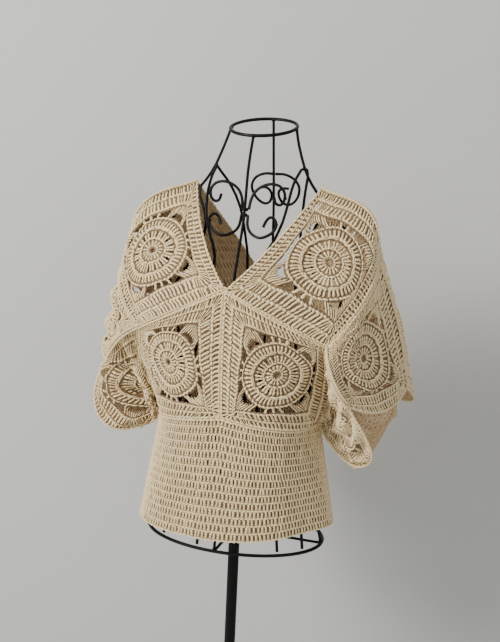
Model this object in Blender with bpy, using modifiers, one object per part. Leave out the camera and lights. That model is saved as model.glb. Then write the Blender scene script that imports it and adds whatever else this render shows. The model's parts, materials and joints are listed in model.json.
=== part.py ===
"""A crocheted V-neck top of sixteen motif squares and a body tube, on a wire dress form.

The front faces -Y. Every table is in millimetres from the middle of the form's hip ring;
`place` turns a row into metres above the underside of the base, which is the origin.
"""
import math

import bmesh
import bpy
from mathutils import Vector

MM = 0.001
HIP_HEIGHT = 700.0
GAP = 0.3
CLOTH = 2.4
SQUARE_CELLS = 9
BODY_ROWS = 9
NORMAL_ROUNDS = 6
LOOSE_CORNER = 0.6  # least agreement (cosine) of a panel's own normal with the shared one
LOOSE_PULL = 4.0
WIRE = 2.2
RING_WIRE = 2.6
POLE_RADIUS = 8.5
POLE_TOP = 215.0
BASE_RADIUS = 140.0
BASE_HEIGHT = 10.0
COLLAR_RADIUS = 20.0
COLLAR_HEIGHT = 34.0

CREAM = (0.62, 0.52, 0.36, 1.0)
BLACK = (0.012, 0.012, 0.014, 1.0)

# Corners where the squares meet. Columns: name, then x, y, z on the right and on the left.
CORNERS = (
    ("front_v", (0, -93, 385), (0, -93, 385)),
    ("neck", (98, 36, 528), (-97, 38, 527)),
    ("shoulder", (188, 22, 436), (-190, 12, 418)),
    ("front_cross", (143, -62, 315), (-143, -62, 315)),
    ("cuff_top", (241, 52, 243), (-246, 82, 243)),
    ("front_cuff", (184, -92, 241), (-218, -10, 244)),
    ("cuff_low", (184, -6, 129), (-160, 8, 146)),
    ("underarm", (121, 8, 182), (-127, 10, 176)),
    ("front_waist", (0, -88, 200), (0, -88, 200)),
    ("back_v", (0, 146, 352), (0, 146, 352)),
    ("back_cross", (150, 108, 338), (-150, 108, 330)),
    ("back_cuff", (216, 130, 204), (-222, 142, 170)),
    ("back_waist", (0, 110, 200), (0, 110, 200)),
)

# Seams and open edges. Columns: from, to, then the one or two points the line passes through
# on the way, evenly spaced, on the right and on the left.
SEAMS = (
    ("neck", "front_v", ((53, -44, 450),), ((-53, -44, 450),)),
    ("neck", "shoulder", ((138, 29, 516), (176, 23, 495)), ((-139, 26, 512), (-178, 16, 484))),
    ("shoulder", "front_cross", ((187, -34, 383),), ((-184, -40, 370),)),
    ("front_v", "front_cross", ((72, -92, 352),), ((-72, -92, 350),)),
    ("front_cross", "underarm", ((146, -28, 250),), ((-147, -26, 246),)),
    ("front_v", "front_waist", ((0, -97, 292),), ((0, -97, 292),)),
    ("front_waist", "underarm", ((84, -70, 188),), ((-88, -68, 186),)),
    ("shoulder", "cuff_top", ((222, 34, 345),), ((-228, 44, 338),)),
    ("front_cross", "front_cuff", ((160, -94, 278),), ((-184, -48, 287),)),
    ("front_cuff", "cuff_top", ((225, -34, 226),), ((-243, 28, 252),)),
    ("front_cuff", "cuff_low", ((203, -72, 201), (211, -36, 157)),
     ((-235, -18, 184), (-206, -28, 145))),
    ("cuff_low", "underarm", ((154, 8, 142),), ((-143, 10, 155),)),
    ("neck", "back_v", ((60, 136, 436),), ((-60, 136, 434),)),
    ("shoulder", "back_cross", ((190, 84, 396),), ((-190, 80, 382),)),
    ("back_v", "back_cross", ((80, 140, 340),), ((-80, 140, 338),)),
    ("back_cross", "underarm", ((150, 72, 258),), ((-152, 74, 252),)),
    ("back_v", "back_waist", ((0, 134, 280),), ((0, 134, 280),)),
    ("back_waist", "underarm", ((82, 86, 188),), ((-86, 86, 185),)),
    ("back_cross", "back_cuff", ((192, 132, 278),), ((-196, 138, 260),)),
    ("back_cuff", "cuff_top", ((246, 98, 214),), ((-250, 124, 206),)),
    ("back_cuff", "cuff_low", ((208, 96, 166), (196, 44, 136)),
     ((-214, 108, 136), (-188, 56, 126))),
)

# Motif squares. Columns: name, four corners in order round the square, then the middle of
# the square on the right and on the left.
SQUARES = (
    ("front_chest", ("front_v", "front_cross", "underarm", "front_waist"),
     (81, -88, 272), (-84, -87, 273)),
    ("front_shoulder", ("neck", "shoulder", "front_cross", "front_v"),
     (134, -38, 430), (-136, -36, 425)),
    ("front_sleeve", ("shoulder", "cuff_top", "front_cuff", "front_cross"),
     (192, -42, 300), (-214, -12, 318)),
    ("front_underarm", ("front_cross", "front_cuff", "cuff_low", "underarm"),
     (164, -48, 212), (-166, -20, 206)),
    ("back_chest", ("back_v", "back_cross", "underarm", "back_waist"),
     (84, 124, 266), (-84, 124, 266)),
    ("back_shoulder", ("neck", "shoulder", "back_cross", "back_v"),
     (124, 116, 436), (-124, 114, 430)),
    ("back_sleeve", ("shoulder", "cuff_top", "back_cuff", "back_cross"),
     (218, 100, 318), (-224, 104, 304)),
    ("back_underarm", ("back_cross", "back_cuff", "cuff_low", "underarm"),
     (180, 84, 208), (-182, 86, 196)),
)

# Soft folds in the squares. Columns: square, side, which parameter it lies across, where,
# its half width in that parameter, and how far it moves the cloth (x, y, z).
FOLDS = (
    ("front_underarm", "left", "u", 0.60, 0.18, (14, 26, 2)),
    ("front_underarm", "right", "u", 0.36, 0.18, (-10, 22, 0)),
    ("front_sleeve", "right", "v", 0.86, 0.10, (-4, 5, 0)),
    ("front_sleeve", "left", "v", 0.80, 0.12, (4, 6, 0)),
    ("back_sleeve", "right", "v", 0.62, 0.14, (-3, -8, 0)),
    ("back_sleeve", "left", "v", 0.58, 0.14, (3, -8, 0)),
    ("back_underarm", "right", "u", 0.55, 0.16, (-4, -10, 0)),
    ("back_underarm", "left", "u", 0.50, 0.16, (4, -10, 0)),
    ("back_chest", "right", "u", 0.55, 0.16, (0, -5, 0)),
    ("back_chest", "left", "u", 0.60, 0.16, (0, -5, 0)),
)

# The body tube's hem, and its soft flutes. A flute's columns: angle round the hem from the
# right side in degrees, half width in degrees, depth.
HEM = {"half_width": 150.0, "front": 106.0, "back": 106.0, "left_z": 16.0, "right_z": 38.0}
FLUTES = (
    (-150, 16, 3.0),
    (-112, 12, -3.5),
    (-68, 14, 3.0),
    (-35, 12, -4.0),
    (-8, 12, 5.0),
    (38, 16, -4.0),
    (78, 14, 4.0),
    (122, 16, -4.0),
    (160, 14, 3.5),
)

# Rings of the form. Columns: half width, half depth, centre y, centre z, forward tilt in degrees.
NECK_RING = (50.0, 50.0, 55.0, 612.0, 15.0)
HIP_RING = (138.0, 95.0, 0.0, 0.0, 0.0)

# Wires on the middle plane. Columns: name, route of x, y, z.
MIDDLE_WIRES = (
    ("front_wire", ((0, 4.9, 596.2), (0, -4, 575), (0, -13, 546), (0, -18, 507), (0, -24, 476),
                    (0, -36, 444), (0, -49, 412), (0, -64, 360), (0, -74, 290), (0, -70, 200),
                    (0, -80, 100), (0, -93, 5.2))),
    ("back_wire", ((0, 103.6, 621.2), (0, 114, 562), (0, 125, 500), (0, 130, 450), (0, 131, 400),
                   (0, 122, 320), (0, 104, 250), (0, 90, 180), (0, 88, 100), (0, 93, 5.2))),
)

# Wires of the right side; the left side mirrors them. Columns: name, route of x, y, z.
SIDE_WIRES = (
    ("side_wire", ((51.6, 54.0, 607.6), (57, 49, 588), (69, 44, 555), (82, 41, 532),
                   (98, 40, 513), (124, 40, 486), (146, 42, 442), (140, 44, 380),
                   (118, 38, 290), (94, 20, 200), (112, 6, 100), (136, 0, 5.2))),
    ("branch_wire", ((65.5, 39, 553), (64, 16, 540), (63, 1, 526), (62, -10, 508), (58, -21, 480),
                     (48, -28, 452), (37, -37, 427), (34, -56, 370), (48, -74, 290),
                     (62, -60, 200), (78, -66, 100), (89, -70.5, 5.2))),
    ("blade_wire", ((71, 50.5, 553), (68, 68, 541), (60, 90, 521), (51, 114, 486),
                    (45, 130, 436), (40, 130, 386), (50, 116, 300), (60, 90, 200),
                    (68, 84, 100), (74, 78.5, 5.2))),
    ("split_wire", ((4.9, -70, 330), (12, -72, 280), (18, -68, 200), (24, -80, 100), (28, -91, 5.2))),
    ("flank_wire", ((114, 31, 284), (98, 4, 230), (92, -18, 180), (106, -30, 90), (120, -45, 5.2))),
)

# Wires under the shoulders. Columns: name, route of x, y, z.
ARM_WIRES = (
    ("arm_wire_right", ((110, 33, 502), (107, 18, 492), (101, 3, 476), (97, -6, 456),
                        (98, -10, 432), (106, -8, 404), (118, -4, 374), (128, 18, 354),
                        (132, 38.5, 346))),
    ("arm_wire_left", ((-88, 33, 520), (-79, 6, 508), (-69, -2, 489), (-65, -3, 473),
                       (-66, -5, 455), (-74, -8, 432), (-92, -8, 400), (-112, -4, 372),
                       (-126, 18, 352), (-132, 38.5, 346))),
)

# Scrolls of the right side, mirrored on the left. Columns: name, route of x, y, z.
SCROLLS = (
    ("upper_scroll", ((4.9, -16, 494), (7, -13, 509), (13, -11, 521), (24, -10, 529), (37, -10, 532),
                      (49, -10, 529), (56, -11, 520), (55.5, -11, 509), (50, -10, 503),
                      (43, -10, 505), (40, -10, 514))),
    ("lower_scroll", ((4.9, -19, 486), (6, -23, 472), (11, -26, 463), (19, -30, 458), (29, -33, 456),
                      (40, -32, 460), (48, -30, 467), (51, -29, 476), (48, -28, 483), (42, -28, 486),
                      (36, -28, 481), (32, -30, 471))),
    ("back_scroll", ((3, 126, 541), (16, 125, 541), (29, 125, 536), (37, 129, 527), (39, 132, 517),
                     (35, 137, 505), (27, 141, 496), (18, 141, 493), (10, 138, 497), (6, 133, 506),
                     (7, 128, 514), (13, 127, 519), (22, 131, 519))),
)

CORNER_AT = {name: {"right": right, "left": left} for name, right, left in CORNERS}
SEAM_ROUTE = {(a, b): {"right": right, "left": left} for a, b, right, left in SEAMS}


def place(point):
    """Turn a table row in millimetres into metres above the underside of the base."""
    return Vector((point[0], point[1], point[2] + HIP_HEIGHT)) * MM


def seam_point(side, start, end, t):
    """Point at t on the smooth line from one corner to another through the seam's own points."""
    if (start, end) not in SEAM_ROUTE:
        return seam_point(side, end, start, 1.0 - t)
    route = [CORNER_AT[start][side], *SEAM_ROUTE[(start, end)][side], CORNER_AT[end][side]]
    last = len(route) - 1
    point = Vector((0, 0, 0))
    for i, stop in enumerate(route):
        weight = 1.0
        for j in range(last + 1):
            if j != i:
                weight *= (t * last - j) / (i - j)
        point += weight * Vector(stop)
    return point


def four_sided(side, corners, u, v):
    """Blend a square's four seams into a surface point; u runs outwards and v runs down."""
    a, b, c, d = corners
    across = (1.0 - v) * seam_point(side, a, b, u) + v * seam_point(side, d, c, u)
    down = (1.0 - u) * seam_point(side, a, d, v) + u * seam_point(side, b, c, v)
    at = [Vector(CORNER_AT[name][side]) for name in corners]
    flat = (1.0 - v) * ((1.0 - u) * at[0] + u * at[1]) + v * ((1.0 - u) * at[3] + u * at[2])
    return across + down - flat


def square_point(side, name, corners, middle, u, v):
    """Surface point of a motif square: its seams, the crown at its middle, and its folds."""
    point = four_sided(side, corners, u, v)
    crown = Vector(middle) - four_sided(side, corners, 0.5, 0.5)
    point += 16.0 * u * (1.0 - u) * v * (1.0 - v) * crown
    for square, fold_side, across, where, half_width, move in FOLDS:
        if square == name and fold_side == side:
            offset = ((u if across == "u" else v) - where) / half_width
            fade = math.sin(math.pi * u) * math.sin(math.pi * v)
            point += math.exp(-offset * offset) * fade * Vector(move)
    return point


def hem_point(angle):
    """Point of the hem at an angle in degrees from the right side, front at -90."""
    depth = HEM["front"] if angle < 0 else HEM["back"]
    swing = sum(deep * math.exp(-(((angle - at + 180) % 360 - 180) / wide) ** 2)
                for at, wide, deep in FLUTES)
    x = (HEM["half_width"] + swing) * math.cos(math.radians(angle))
    y = (depth + swing) * math.sin(math.radians(angle))
    lift = 0.5 + 0.5 * math.cos(math.radians(angle))
    return Vector((x, y, HEM["left_z"] + (HEM["right_z"] - HEM["left_z"]) * lift ** 2))


def body_point(turn, v):
    """Surface point of the body tube: turn is 0 to 4 from the front, v runs down."""
    quarter = int(turn) % 4
    t = turn - int(turn)
    side = "right" if quarter < 2 else "left"
    ends = (("front_waist", "underarm"), ("underarm", "back_waist"),
            ("back_waist", "underarm"), ("underarm", "front_waist"))[quarter]
    top = seam_point(side, ends[0], ends[1], t)
    angle = -90.0 + 90.0 * turn
    hem = hem_point(angle if angle <= 180 else angle - 360)
    return top.lerp(hem, v)


def square_grid(side, row):
    """Grid of surface points of one motif square."""
    name, corners, right, left = row
    middle = right if side == "right" else left
    steps = [i / SQUARE_CELLS for i in range(SQUARE_CELLS + 1)]
    return [[square_point(side, name, corners, middle, u, v) for v in steps] for u in steps]


def body_grid():
    """Grid of surface points of the body tube, closed round."""
    turns = [4.0 * i / (4 * SQUARE_CELLS) for i in range(4 * SQUARE_CELLS)] + [0.0]
    return [[body_point(turn, j / BODY_ROWS) for j in range(BODY_ROWS + 1)] for turn in turns]


def key(point):
    """Rounded place, by which panels that meet share a corner."""
    return tuple(round(value, 2) for value in point)


def shared_normals(grids):
    """Outward normal at every grid point, shared by all the panels that meet there."""
    normals = {}
    for grid, sign in grids:
        for i in range(len(grid) - 1):
            for j in range(len(grid[0]) - 1):
                ring = (grid[i][j], grid[i + 1][j], grid[i + 1][j + 1], grid[i][j + 1])
                face = sign * (ring[2] - ring[0]).cross(ring[3] - ring[1])
                for point in ring:
                    normals[key(point)] = normals.get(key(point), Vector()) + face.normalized()
    return {at: normal.normalized() for at, normal in normals.items()}


def eased(normals, grids, rounds):
    """The same normals, each turned towards its neighbours so that seams twist slowly."""
    for _ in range(rounds):
        sums = {at: 2.0 * normal for at, normal in normals.items()}
        for grid, _ in grids:
            lines = [*grid, *zip(*grid)]
            for line in lines:
                for a, b in zip(line, line[1:]):
                    sums[key(a)] += normals[key(b)]
                    sums[key(b)] += normals[key(a)]
        normals = {at: total.normalized() for at, total in sums.items()}
    return normals


def pull(edge, inner, before, after, normal):
    """Unit step from a seam point into its panel, square to the seam and to the shared normal."""
    along = (after - before).normalized()
    step = inner - edge
    step -= step.dot(normal) * normal
    step -= step.dot(along) * along
    return step.normalized()


def pulled_in(grid, normals, closed, loose):
    """Grid with its edges moved in by half a gap, and its loose corners by LOOSE_PULL."""
    across = len(grid) - 1
    down = len(grid[0]) - 1
    moved = [[point.copy() for point in column] for column in grid]
    for i, column in enumerate(grid):
        before = grid[i - 1] if i else (grid[-2] if closed else column)
        after = grid[i + 1] if i < across else (grid[1] if closed else column)
        for end, inner in ((0, 1), (down, down - 1)):
            reach = LOOSE_PULL if (i, end) in loose else GAP / 2.0
            moved[i][end] += reach * pull(column[end], column[inner], before[end], after[end],
                                          normals[key(column[end])])
    if not closed:
        for end, inner in ((0, 1), (across, across - 1)):
            edge = grid[end]
            for j in range(down + 1):
                reach = LOOSE_PULL if (end, j) in loose else GAP / 2.0
                moved[end][j] += reach * pull(edge[j], grid[inner][j], edge[max(j - 1, 0)],
                                              edge[min(j + 1, down)], normals[key(edge[j])])
    return moved


def cloth_wall(name, grid, normals, own, material, closed=False):
    """Make a wall of cloth from a grid of its outer surface.

    Its thickness follows the normals that neighbours share, except at a corner where those
    lie too flat for this panel: such a corner is loose and leans half way to its own normal.
    """
    across = len(grid) - 1
    down = len(grid[0]) - 1
    loose = {(i, j) for i in range(across + 1) for j in range(down + 1)
             if normals[key(grid[i][j])].dot(own[key(grid[i][j])]) < LOOSE_CORNER}
    moved = pulled_in(grid, normals, closed, loose)
    bm = bmesh.new()
    bmesh.ops.create_grid(bm, x_segments=across, y_segments=down, size=0.5)
    steps = {}
    for vert in bm.verts:
        i = round((vert.co.x + 0.5) * across)
        j = round((vert.co.y + 0.5) * down)
        normal = normals[key(grid[i][j])]
        if (i, j) in loose:
            normal = (normal + own[key(grid[i][j])]).normalized()
        vert.co = place(moved[i][j])
        steps[tuple(vert.co)] = -normal * CLOTH * MM
    if closed:
        bmesh.ops.remove_doubles(bm, verts=list(bm.verts), dist=1e-6)
    wall = bmesh.ops.extrude_face_region(bm, geom=list(bm.faces), use_keep_orig=True)
    for item in wall["geom"]:
        if isinstance(item, bmesh.types.BMVert):
            item.co += steps[tuple(item.co)]
    bmesh.ops.recalc_face_normals(bm, faces=list(bm.faces))
    return finish_mesh(name, bm, material)


def finish_mesh(name, bm, material):
    """Turn a bmesh into a smooth-shaded object of the part's collection."""
    mesh = bpy.data.meshes.new(name)
    bm.to_mesh(mesh)
    bm.free()
    mesh.materials.append(material)
    mesh.shade_smooth()
    mesh.set_sharp_from_angle(angle=math.radians(50))
    obj = bpy.data.objects.new(name, mesh)
    parts.objects.link(obj)
    return obj


def principled(name, colour, roughness, metallic):
    """A plain Principled material."""
    material = bpy.data.materials.new(name)
    material.use_nodes = True
    shader = material.node_tree.nodes["Principled BSDF"]
    shader.inputs["Base Color"].default_value = colour
    shader.inputs["Roughness"].default_value = roughness
    shader.inputs["Metallic"].default_value = metallic
    return material


def smooth_route(points, per_span):
    """Points along the smooth curve through the given ones (Catmull-Rom)."""
    stops = [2 * points[0] - points[1], *points, 2 * points[-1] - points[-2]]
    route = []
    for a, b, c, d in zip(stops, stops[1:], stops[2:], stops[3:]):
        for k in range(per_span):
            t = k / per_span
            route.append(0.5 * (2 * b + (c - a) * t + (2 * a - 5 * b + 4 * c - d) * t * t
                                + (3 * b - a - 3 * c + d) * t ** 3))
    return route + [points[-1]]


def wire(name, points, radius, material, cyclic=False):
    """A round wire along points in metres, as a curve with filled caps."""
    curve = bpy.data.curves.new(name, "CURVE")
    curve.dimensions = "3D"
    curve.bevel_depth = radius * MM
    curve.bevel_resolution = 2
    curve.use_fill_caps = not cyclic
    spline = curve.splines.new("POLY")
    spline.points.add(len(points) - 1)
    for spot, point in zip(spline.points, points):
        spot.co = (*point, 1.0)
    spline.use_cyclic_u = cyclic
    curve.materials.append(material)
    obj = bpy.data.objects.new(name, curve)
    parts.objects.link(obj)
    return obj


def ring(name, row, segments, material):
    """An oval ring of wire, tilted forward about its own width."""
    half_width, half_depth, centre_y, centre_z, tilt = row
    lean = math.radians(tilt)
    points = []
    for k in range(segments):
        angle = 2.0 * math.pi * k / segments
        depth = half_depth * math.sin(angle)
        points.append(place((half_width * math.cos(angle), centre_y + depth * math.cos(lean),
                             centre_z + depth * math.sin(lean))))
    return wire(name, points, RING_WIRE, material, cyclic=True)


def mirrored(points):
    """The same points on the other side of the middle plane."""
    return [Vector((-point.x, point.y, point.z)) for point in points]


def build_cloth(cream):
    """Make the sixteen squares and the body tube."""
    grids = {}
    for side, sign in (("right", 1), ("left", -1)):
        for row in SQUARES:
            facing = -1 if row[0].startswith("front") else 1
            grids[f"{row[0]}_{side}"] = (square_grid(side, row), facing * sign)
    grids["body_tube"] = (body_grid(), -1)
    normals = eased(shared_normals(grids.values()), grids.values(), NORMAL_ROUNDS)
    for name, (grid, sign) in grids.items():
        own = shared_normals([(grid, sign)])
        cloth_wall(name, grid, normals, own, cream, closed=name == "body_tube")


def build_form(black):
    """Make the wires, rings and scrolls of the dress form."""
    ring("neck_ring", NECK_RING, 40, black)
    ring("hip_ring", HIP_RING, 56, black)
    for name, route in MIDDLE_WIRES + ARM_WIRES:
        wire(name, smooth_route([place(point) for point in route], 2), WIRE, black)
    for table, per_span in ((SIDE_WIRES, 2), (SCROLLS, 3)):
        for name, route in table:
            points = smooth_route([place(point) for point in route], per_span)
            wire(f"{name}_right", points, WIRE, black)
            wire(f"{name}_left", mirrored(points), WIRE, black)


def build_stand(black):
    """Make the pole, the four spokes that carry the hip ring, and the round base."""
    turned("pole", ((0, POLE_TOP), (POLE_RADIUS - 2, POLE_TOP), (POLE_RADIUS, POLE_TOP - 2),
                    (POLE_RADIUS, -HIP_HEIGHT + BASE_HEIGHT + GAP),
                    (0, -HIP_HEIGHT + BASE_HEIGHT + GAP)), 32, black)
    start = POLE_RADIUS + GAP
    half_width, half_depth = HIP_RING[:2]
    for name, reach, way in (("spoke_right", half_width, (1, 0)),
                             ("spoke_left", half_width, (-1, 0)),
                             ("spoke_front", half_depth, (0, -1)),
                             ("spoke_back", half_depth, (0, 1))):
        end = reach - RING_WIRE - GAP
        wire(name, [place((way[0] * far, way[1] * far, 0)) for far in (start, end)], WIRE, black)
    bottom = -HIP_HEIGHT
    plate = bottom + BASE_HEIGHT
    turned("base", ((0, plate), (BASE_RADIUS - 3, plate), (BASE_RADIUS, plate - 3),
                    (BASE_RADIUS, bottom), (0, bottom)), 64, black)
    inner = POLE_RADIUS + GAP
    low = plate + GAP
    top = low + COLLAR_HEIGHT
    turned("base_collar", ((inner, top), (COLLAR_RADIUS - 4, top), (COLLAR_RADIUS, top - 6),
                           (COLLAR_RADIUS, low), (inner, low)), 40, black, closed=True)


def turned(name, profile, segments, material, closed=False):
    """A turned piece: a profile of radius and height spun once round the pole's axis."""
    bm = bmesh.new()
    verts = [bm.verts.new(place((radius, 0, height))) for radius, height in profile]
    for a, b in zip(verts, verts[1:] + (verts[:1] if closed else [])):
        bm.edges.new((a, b))
    mesh = bpy.data.meshes.new(name)
    bm.to_mesh(mesh)
    bm.free()
    mesh.materials.append(material)
    obj = bpy.data.objects.new(name, mesh)
    parts.objects.link(obj)
    screw = obj.modifiers.new("Turn", "SCREW")
    screw.steps = segments
    screw.render_steps = segments
    screw.use_merge_vertices = True
    screw.merge_threshold = 0.00001
    return obj


for old in list(bpy.data.objects):
    bpy.data.objects.remove(old)
parts = bpy.data.collections.new("crochet_top_on_dress_form")
bpy.context.scene.collection.children.link(parts)

crochet = principled("cream crochet cotton", CREAM, 0.9, 0.0)
painted = principled("black painted steel", BLACK, 0.4, 0.0)
build_cloth(crochet)
build_form(painted)
build_stand(painted)
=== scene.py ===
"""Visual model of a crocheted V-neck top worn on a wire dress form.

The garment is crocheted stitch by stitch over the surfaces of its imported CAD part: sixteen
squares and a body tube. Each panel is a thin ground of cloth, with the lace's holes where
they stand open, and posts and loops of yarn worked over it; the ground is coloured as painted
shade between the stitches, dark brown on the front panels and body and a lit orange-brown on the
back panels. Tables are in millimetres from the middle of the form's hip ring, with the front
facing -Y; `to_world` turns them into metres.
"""

import json
import logging
import math
from dataclasses import dataclass
from enum import Enum
from typing import Callable, Optional, Protocol, Sequence

import bmesh
import bpy
import numpy as np
from mathutils import Matrix, Vector


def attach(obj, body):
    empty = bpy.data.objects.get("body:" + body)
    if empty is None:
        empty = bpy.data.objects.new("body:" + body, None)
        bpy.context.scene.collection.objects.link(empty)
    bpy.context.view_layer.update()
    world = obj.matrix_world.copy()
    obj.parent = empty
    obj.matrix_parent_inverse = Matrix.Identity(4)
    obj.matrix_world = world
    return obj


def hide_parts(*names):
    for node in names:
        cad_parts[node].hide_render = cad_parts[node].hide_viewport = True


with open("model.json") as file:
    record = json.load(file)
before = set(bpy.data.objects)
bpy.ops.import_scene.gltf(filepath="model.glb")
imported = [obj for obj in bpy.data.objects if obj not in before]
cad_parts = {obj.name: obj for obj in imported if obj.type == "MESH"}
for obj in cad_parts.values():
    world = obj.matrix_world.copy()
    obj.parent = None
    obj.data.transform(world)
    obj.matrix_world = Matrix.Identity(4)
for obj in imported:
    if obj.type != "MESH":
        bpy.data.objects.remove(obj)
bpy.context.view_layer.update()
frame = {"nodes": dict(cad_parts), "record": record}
log = logging.getLogger("crochet_top")

Row = tuple[float, float, float]
Pair = dict[str, tuple]

MM = 0.001
HIP_HEIGHT = 700.0
CLOTH = 2.4
GROUND = 0.7
HALF_SQUARE = 82.0
SQUARE_CUT = 0.164

# Corners where the squares meet. Columns: name, then x, y, z on the right and on the left.
CORNERS = (
    ("front_v", (0, -93, 385), (0, -93, 385)),
    ("neck", (98, 36, 528), (-97, 38, 527)),
    ("shoulder", (188, 22, 436), (-190, 12, 418)),
    ("front_cross", (143, -62, 315), (-143, -62, 315)),
    ("cuff_top", (241, 52, 243), (-246, 82, 243)),
    ("front_cuff", (184, -92, 241), (-218, -10, 244)),
    ("cuff_low", (184, -6, 129), (-160, 8, 146)),
    ("underarm", (121, 8, 182), (-127, 10, 176)),
    ("front_waist", (0, -88, 200), (0, -88, 200)),
    ("back_v", (0, 146, 352), (0, 146, 352)),
    ("back_cross", (150, 108, 338), (-150, 108, 330)),
    ("back_cuff", (216, 130, 204), (-222, 142, 170)),
    ("back_waist", (0, 110, 200), (0, 110, 200)),
)

# Seams and open edges. Columns: from, to, then the one or two points the line passes through
# on the way, evenly spaced, on the right and on the left, and whether two panels are joined.
SEAMS = (
    ("neck", "front_v", ((53, -44, 450),), ((-53, -44, 450),), False),
    ("neck", "shoulder", ((138, 29, 516), (176, 23, 495)), ((-139, 26, 512), (-178, 16, 484)), True),
    ("shoulder", "front_cross", ((187, -34, 383),), ((-184, -40, 370),), True),
    ("front_v", "front_cross", ((72, -92, 352),), ((-72, -92, 350),), True),
    ("front_cross", "underarm", ((146, -28, 250),), ((-147, -26, 246),), True),
    ("front_v", "front_waist", ((0, -97, 292),), ((0, -97, 292),), True),
    ("front_waist", "underarm", ((84, -70, 188),), ((-88, -68, 186),), True),
    ("shoulder", "cuff_top", ((222, 34, 345),), ((-228, 44, 338),), True),
    ("front_cross", "front_cuff", ((160, -94, 278),), ((-184, -48, 287),), True),
    ("front_cuff", "cuff_top", ((225, -34, 226),), ((-243, 28, 252),), False),
    ("front_cuff", "cuff_low", ((203, -72, 201), (211, -36, 157)),
     ((-235, -18, 184), (-206, -28, 145)), False),
    ("cuff_low", "underarm", ((154, 8, 142),), ((-143, 10, 155),), True),
    ("neck", "back_v", ((60, 136, 436),), ((-60, 136, 434),), False),
    ("shoulder", "back_cross", ((190, 84, 396),), ((-190, 80, 382),), True),
    ("back_v", "back_cross", ((80, 140, 340),), ((-80, 140, 338),), True),
    ("back_cross", "underarm", ((150, 72, 258),), ((-152, 74, 252),), True),
    ("back_v", "back_waist", ((0, 134, 280),), ((0, 134, 280),), True),
    ("back_waist", "underarm", ((82, 86, 188),), ((-86, 86, 185),), True),
    ("back_cross", "back_cuff", ((192, 132, 278),), ((-196, 138, 260),), True),
    ("back_cuff", "cuff_top", ((246, 98, 214),), ((-250, 124, 206),), False),
    ("back_cuff", "cuff_low", ((208, 96, 166), (196, 44, 136)),
     ((-214, 108, 136), (-188, 56, 126)), False),
)

# Squares. All are cut alike. Columns: name, four corners in order round the square, and the
# middle of the square on the right and on the left.
SQUARES = (
    ("front_chest", ("front_v", "front_cross", "underarm", "front_waist"),
     (81, -88, 272), (-84, -87, 273)),
    ("front_shoulder", ("neck", "shoulder", "front_cross", "front_v"),
     (134, -38, 430), (-136, -36, 425)),
    ("front_sleeve", ("shoulder", "cuff_top", "front_cuff", "front_cross"),
     (192, -42, 300), (-214, -12, 318)),
    ("front_underarm", ("front_cross", "front_cuff", "cuff_low", "underarm"),
     (164, -48, 212), (-166, -20, 206)),
    ("back_chest", ("back_v", "back_cross", "underarm", "back_waist"),
     (84, 124, 266), (-84, 124, 266)),
    ("back_shoulder", ("neck", "shoulder", "back_cross", "back_v"),
     (124, 116, 436), (-124, 114, 430)),
    ("back_sleeve", ("shoulder", "cuff_top", "back_cuff", "back_cross"),
     (218, 100, 318), (-224, 104, 304)),
    ("back_underarm", ("back_cross", "back_cuff", "cuff_low", "underarm"),
     (180, 84, 208), (-182, 86, 196)),
)

# How far the eyelets beside the disc are pulled shut, from 0, open, to 1, a slit: across the
# square and down it. Keys: label.
SLACK = {
    "front_chest_right": (0.75, 0.15),
    "front_chest_left": (0.75, 0.25),
    "front_shoulder_right": (0.55, 0.35),
    "front_shoulder_left": (0.70, 0.45),
    "front_sleeve_right": (0.80, 0.75),
    "front_sleeve_left": (0.85, 0.85),
    "front_underarm_right": (0.80, 0.80),
    "front_underarm_left": (0.75, 0.75),
}
USUAL_SLACK = (0.7, 0.7)
PLAIN_PANELS = ("back_chest", "back_shoulder")

# Low waves over every square: height in millimetres, and turns in radians a millimetre.
WAVE_HEIGHT = 1.2
WAVES_ACROSS = 0.061
WAVES_DOWN = 0.053

# Rounds of a motif that stand proud or lie low. Columns: rise, radius, width.
RAISED_ROUNDS = ((1.5, 40.0, 7.0), (-1.0, 25.0, 5.0))

# How far a fully slack square moves its disc's rim out and its frame in.
DISC_SPREAD = 3.0
FRAME_DROP = 5.5

# Sideways drift of the rounds: millimetres, and radians a millimetre.
WANDER = 0.9
WANDERS = 0.13

# Folds that take up the cloth of the squares that hang crumpled. Keys: label. Values: depth and
# spacing of the folds in millimetres.
CRUMPLES = {
    "front_sleeve_left": (3.6, 50.0),
    "front_underarm_right": (4.4, 36.0),
    "front_underarm_left": (4.8, 36.0),
}
FOLD_RUN = (0.8, 0.6)
FOLD_BEND = 0.6
FOLD_BENDS = 0.045

SHUT_PANELS = ("front_underarm", "back_underarm")

# Soft folds in the squares. Columns: square, side, which parameter it lies across, where,
# its half width in that parameter, and how far it moves the cloth (x, y, z).
FOLDS = (
    ("front_underarm", "left", "u", 0.60, 0.18, (14, 26, 2)),
    ("front_underarm", "right", "u", 0.36, 0.18, (-10, 22, 0)),
    ("front_sleeve", "right", "v", 0.86, 0.10, (-4, 5, 0)),
    ("front_sleeve", "left", "v", 0.80, 0.12, (4, 6, 0)),
    ("back_sleeve", "right", "v", 0.62, 0.14, (-3, -8, 0)),
    ("back_sleeve", "left", "v", 0.58, 0.14, (3, -8, 0)),
    ("back_underarm", "right", "u", 0.55, 0.16, (-4, -10, 0)),
    ("back_underarm", "left", "u", 0.50, 0.16, (4, -10, 0)),
    ("back_chest", "right", "u", 0.55, 0.16, (0, -5, 0)),
    ("back_chest", "left", "u", 0.60, 0.16, (0, -5, 0)),
)

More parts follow.
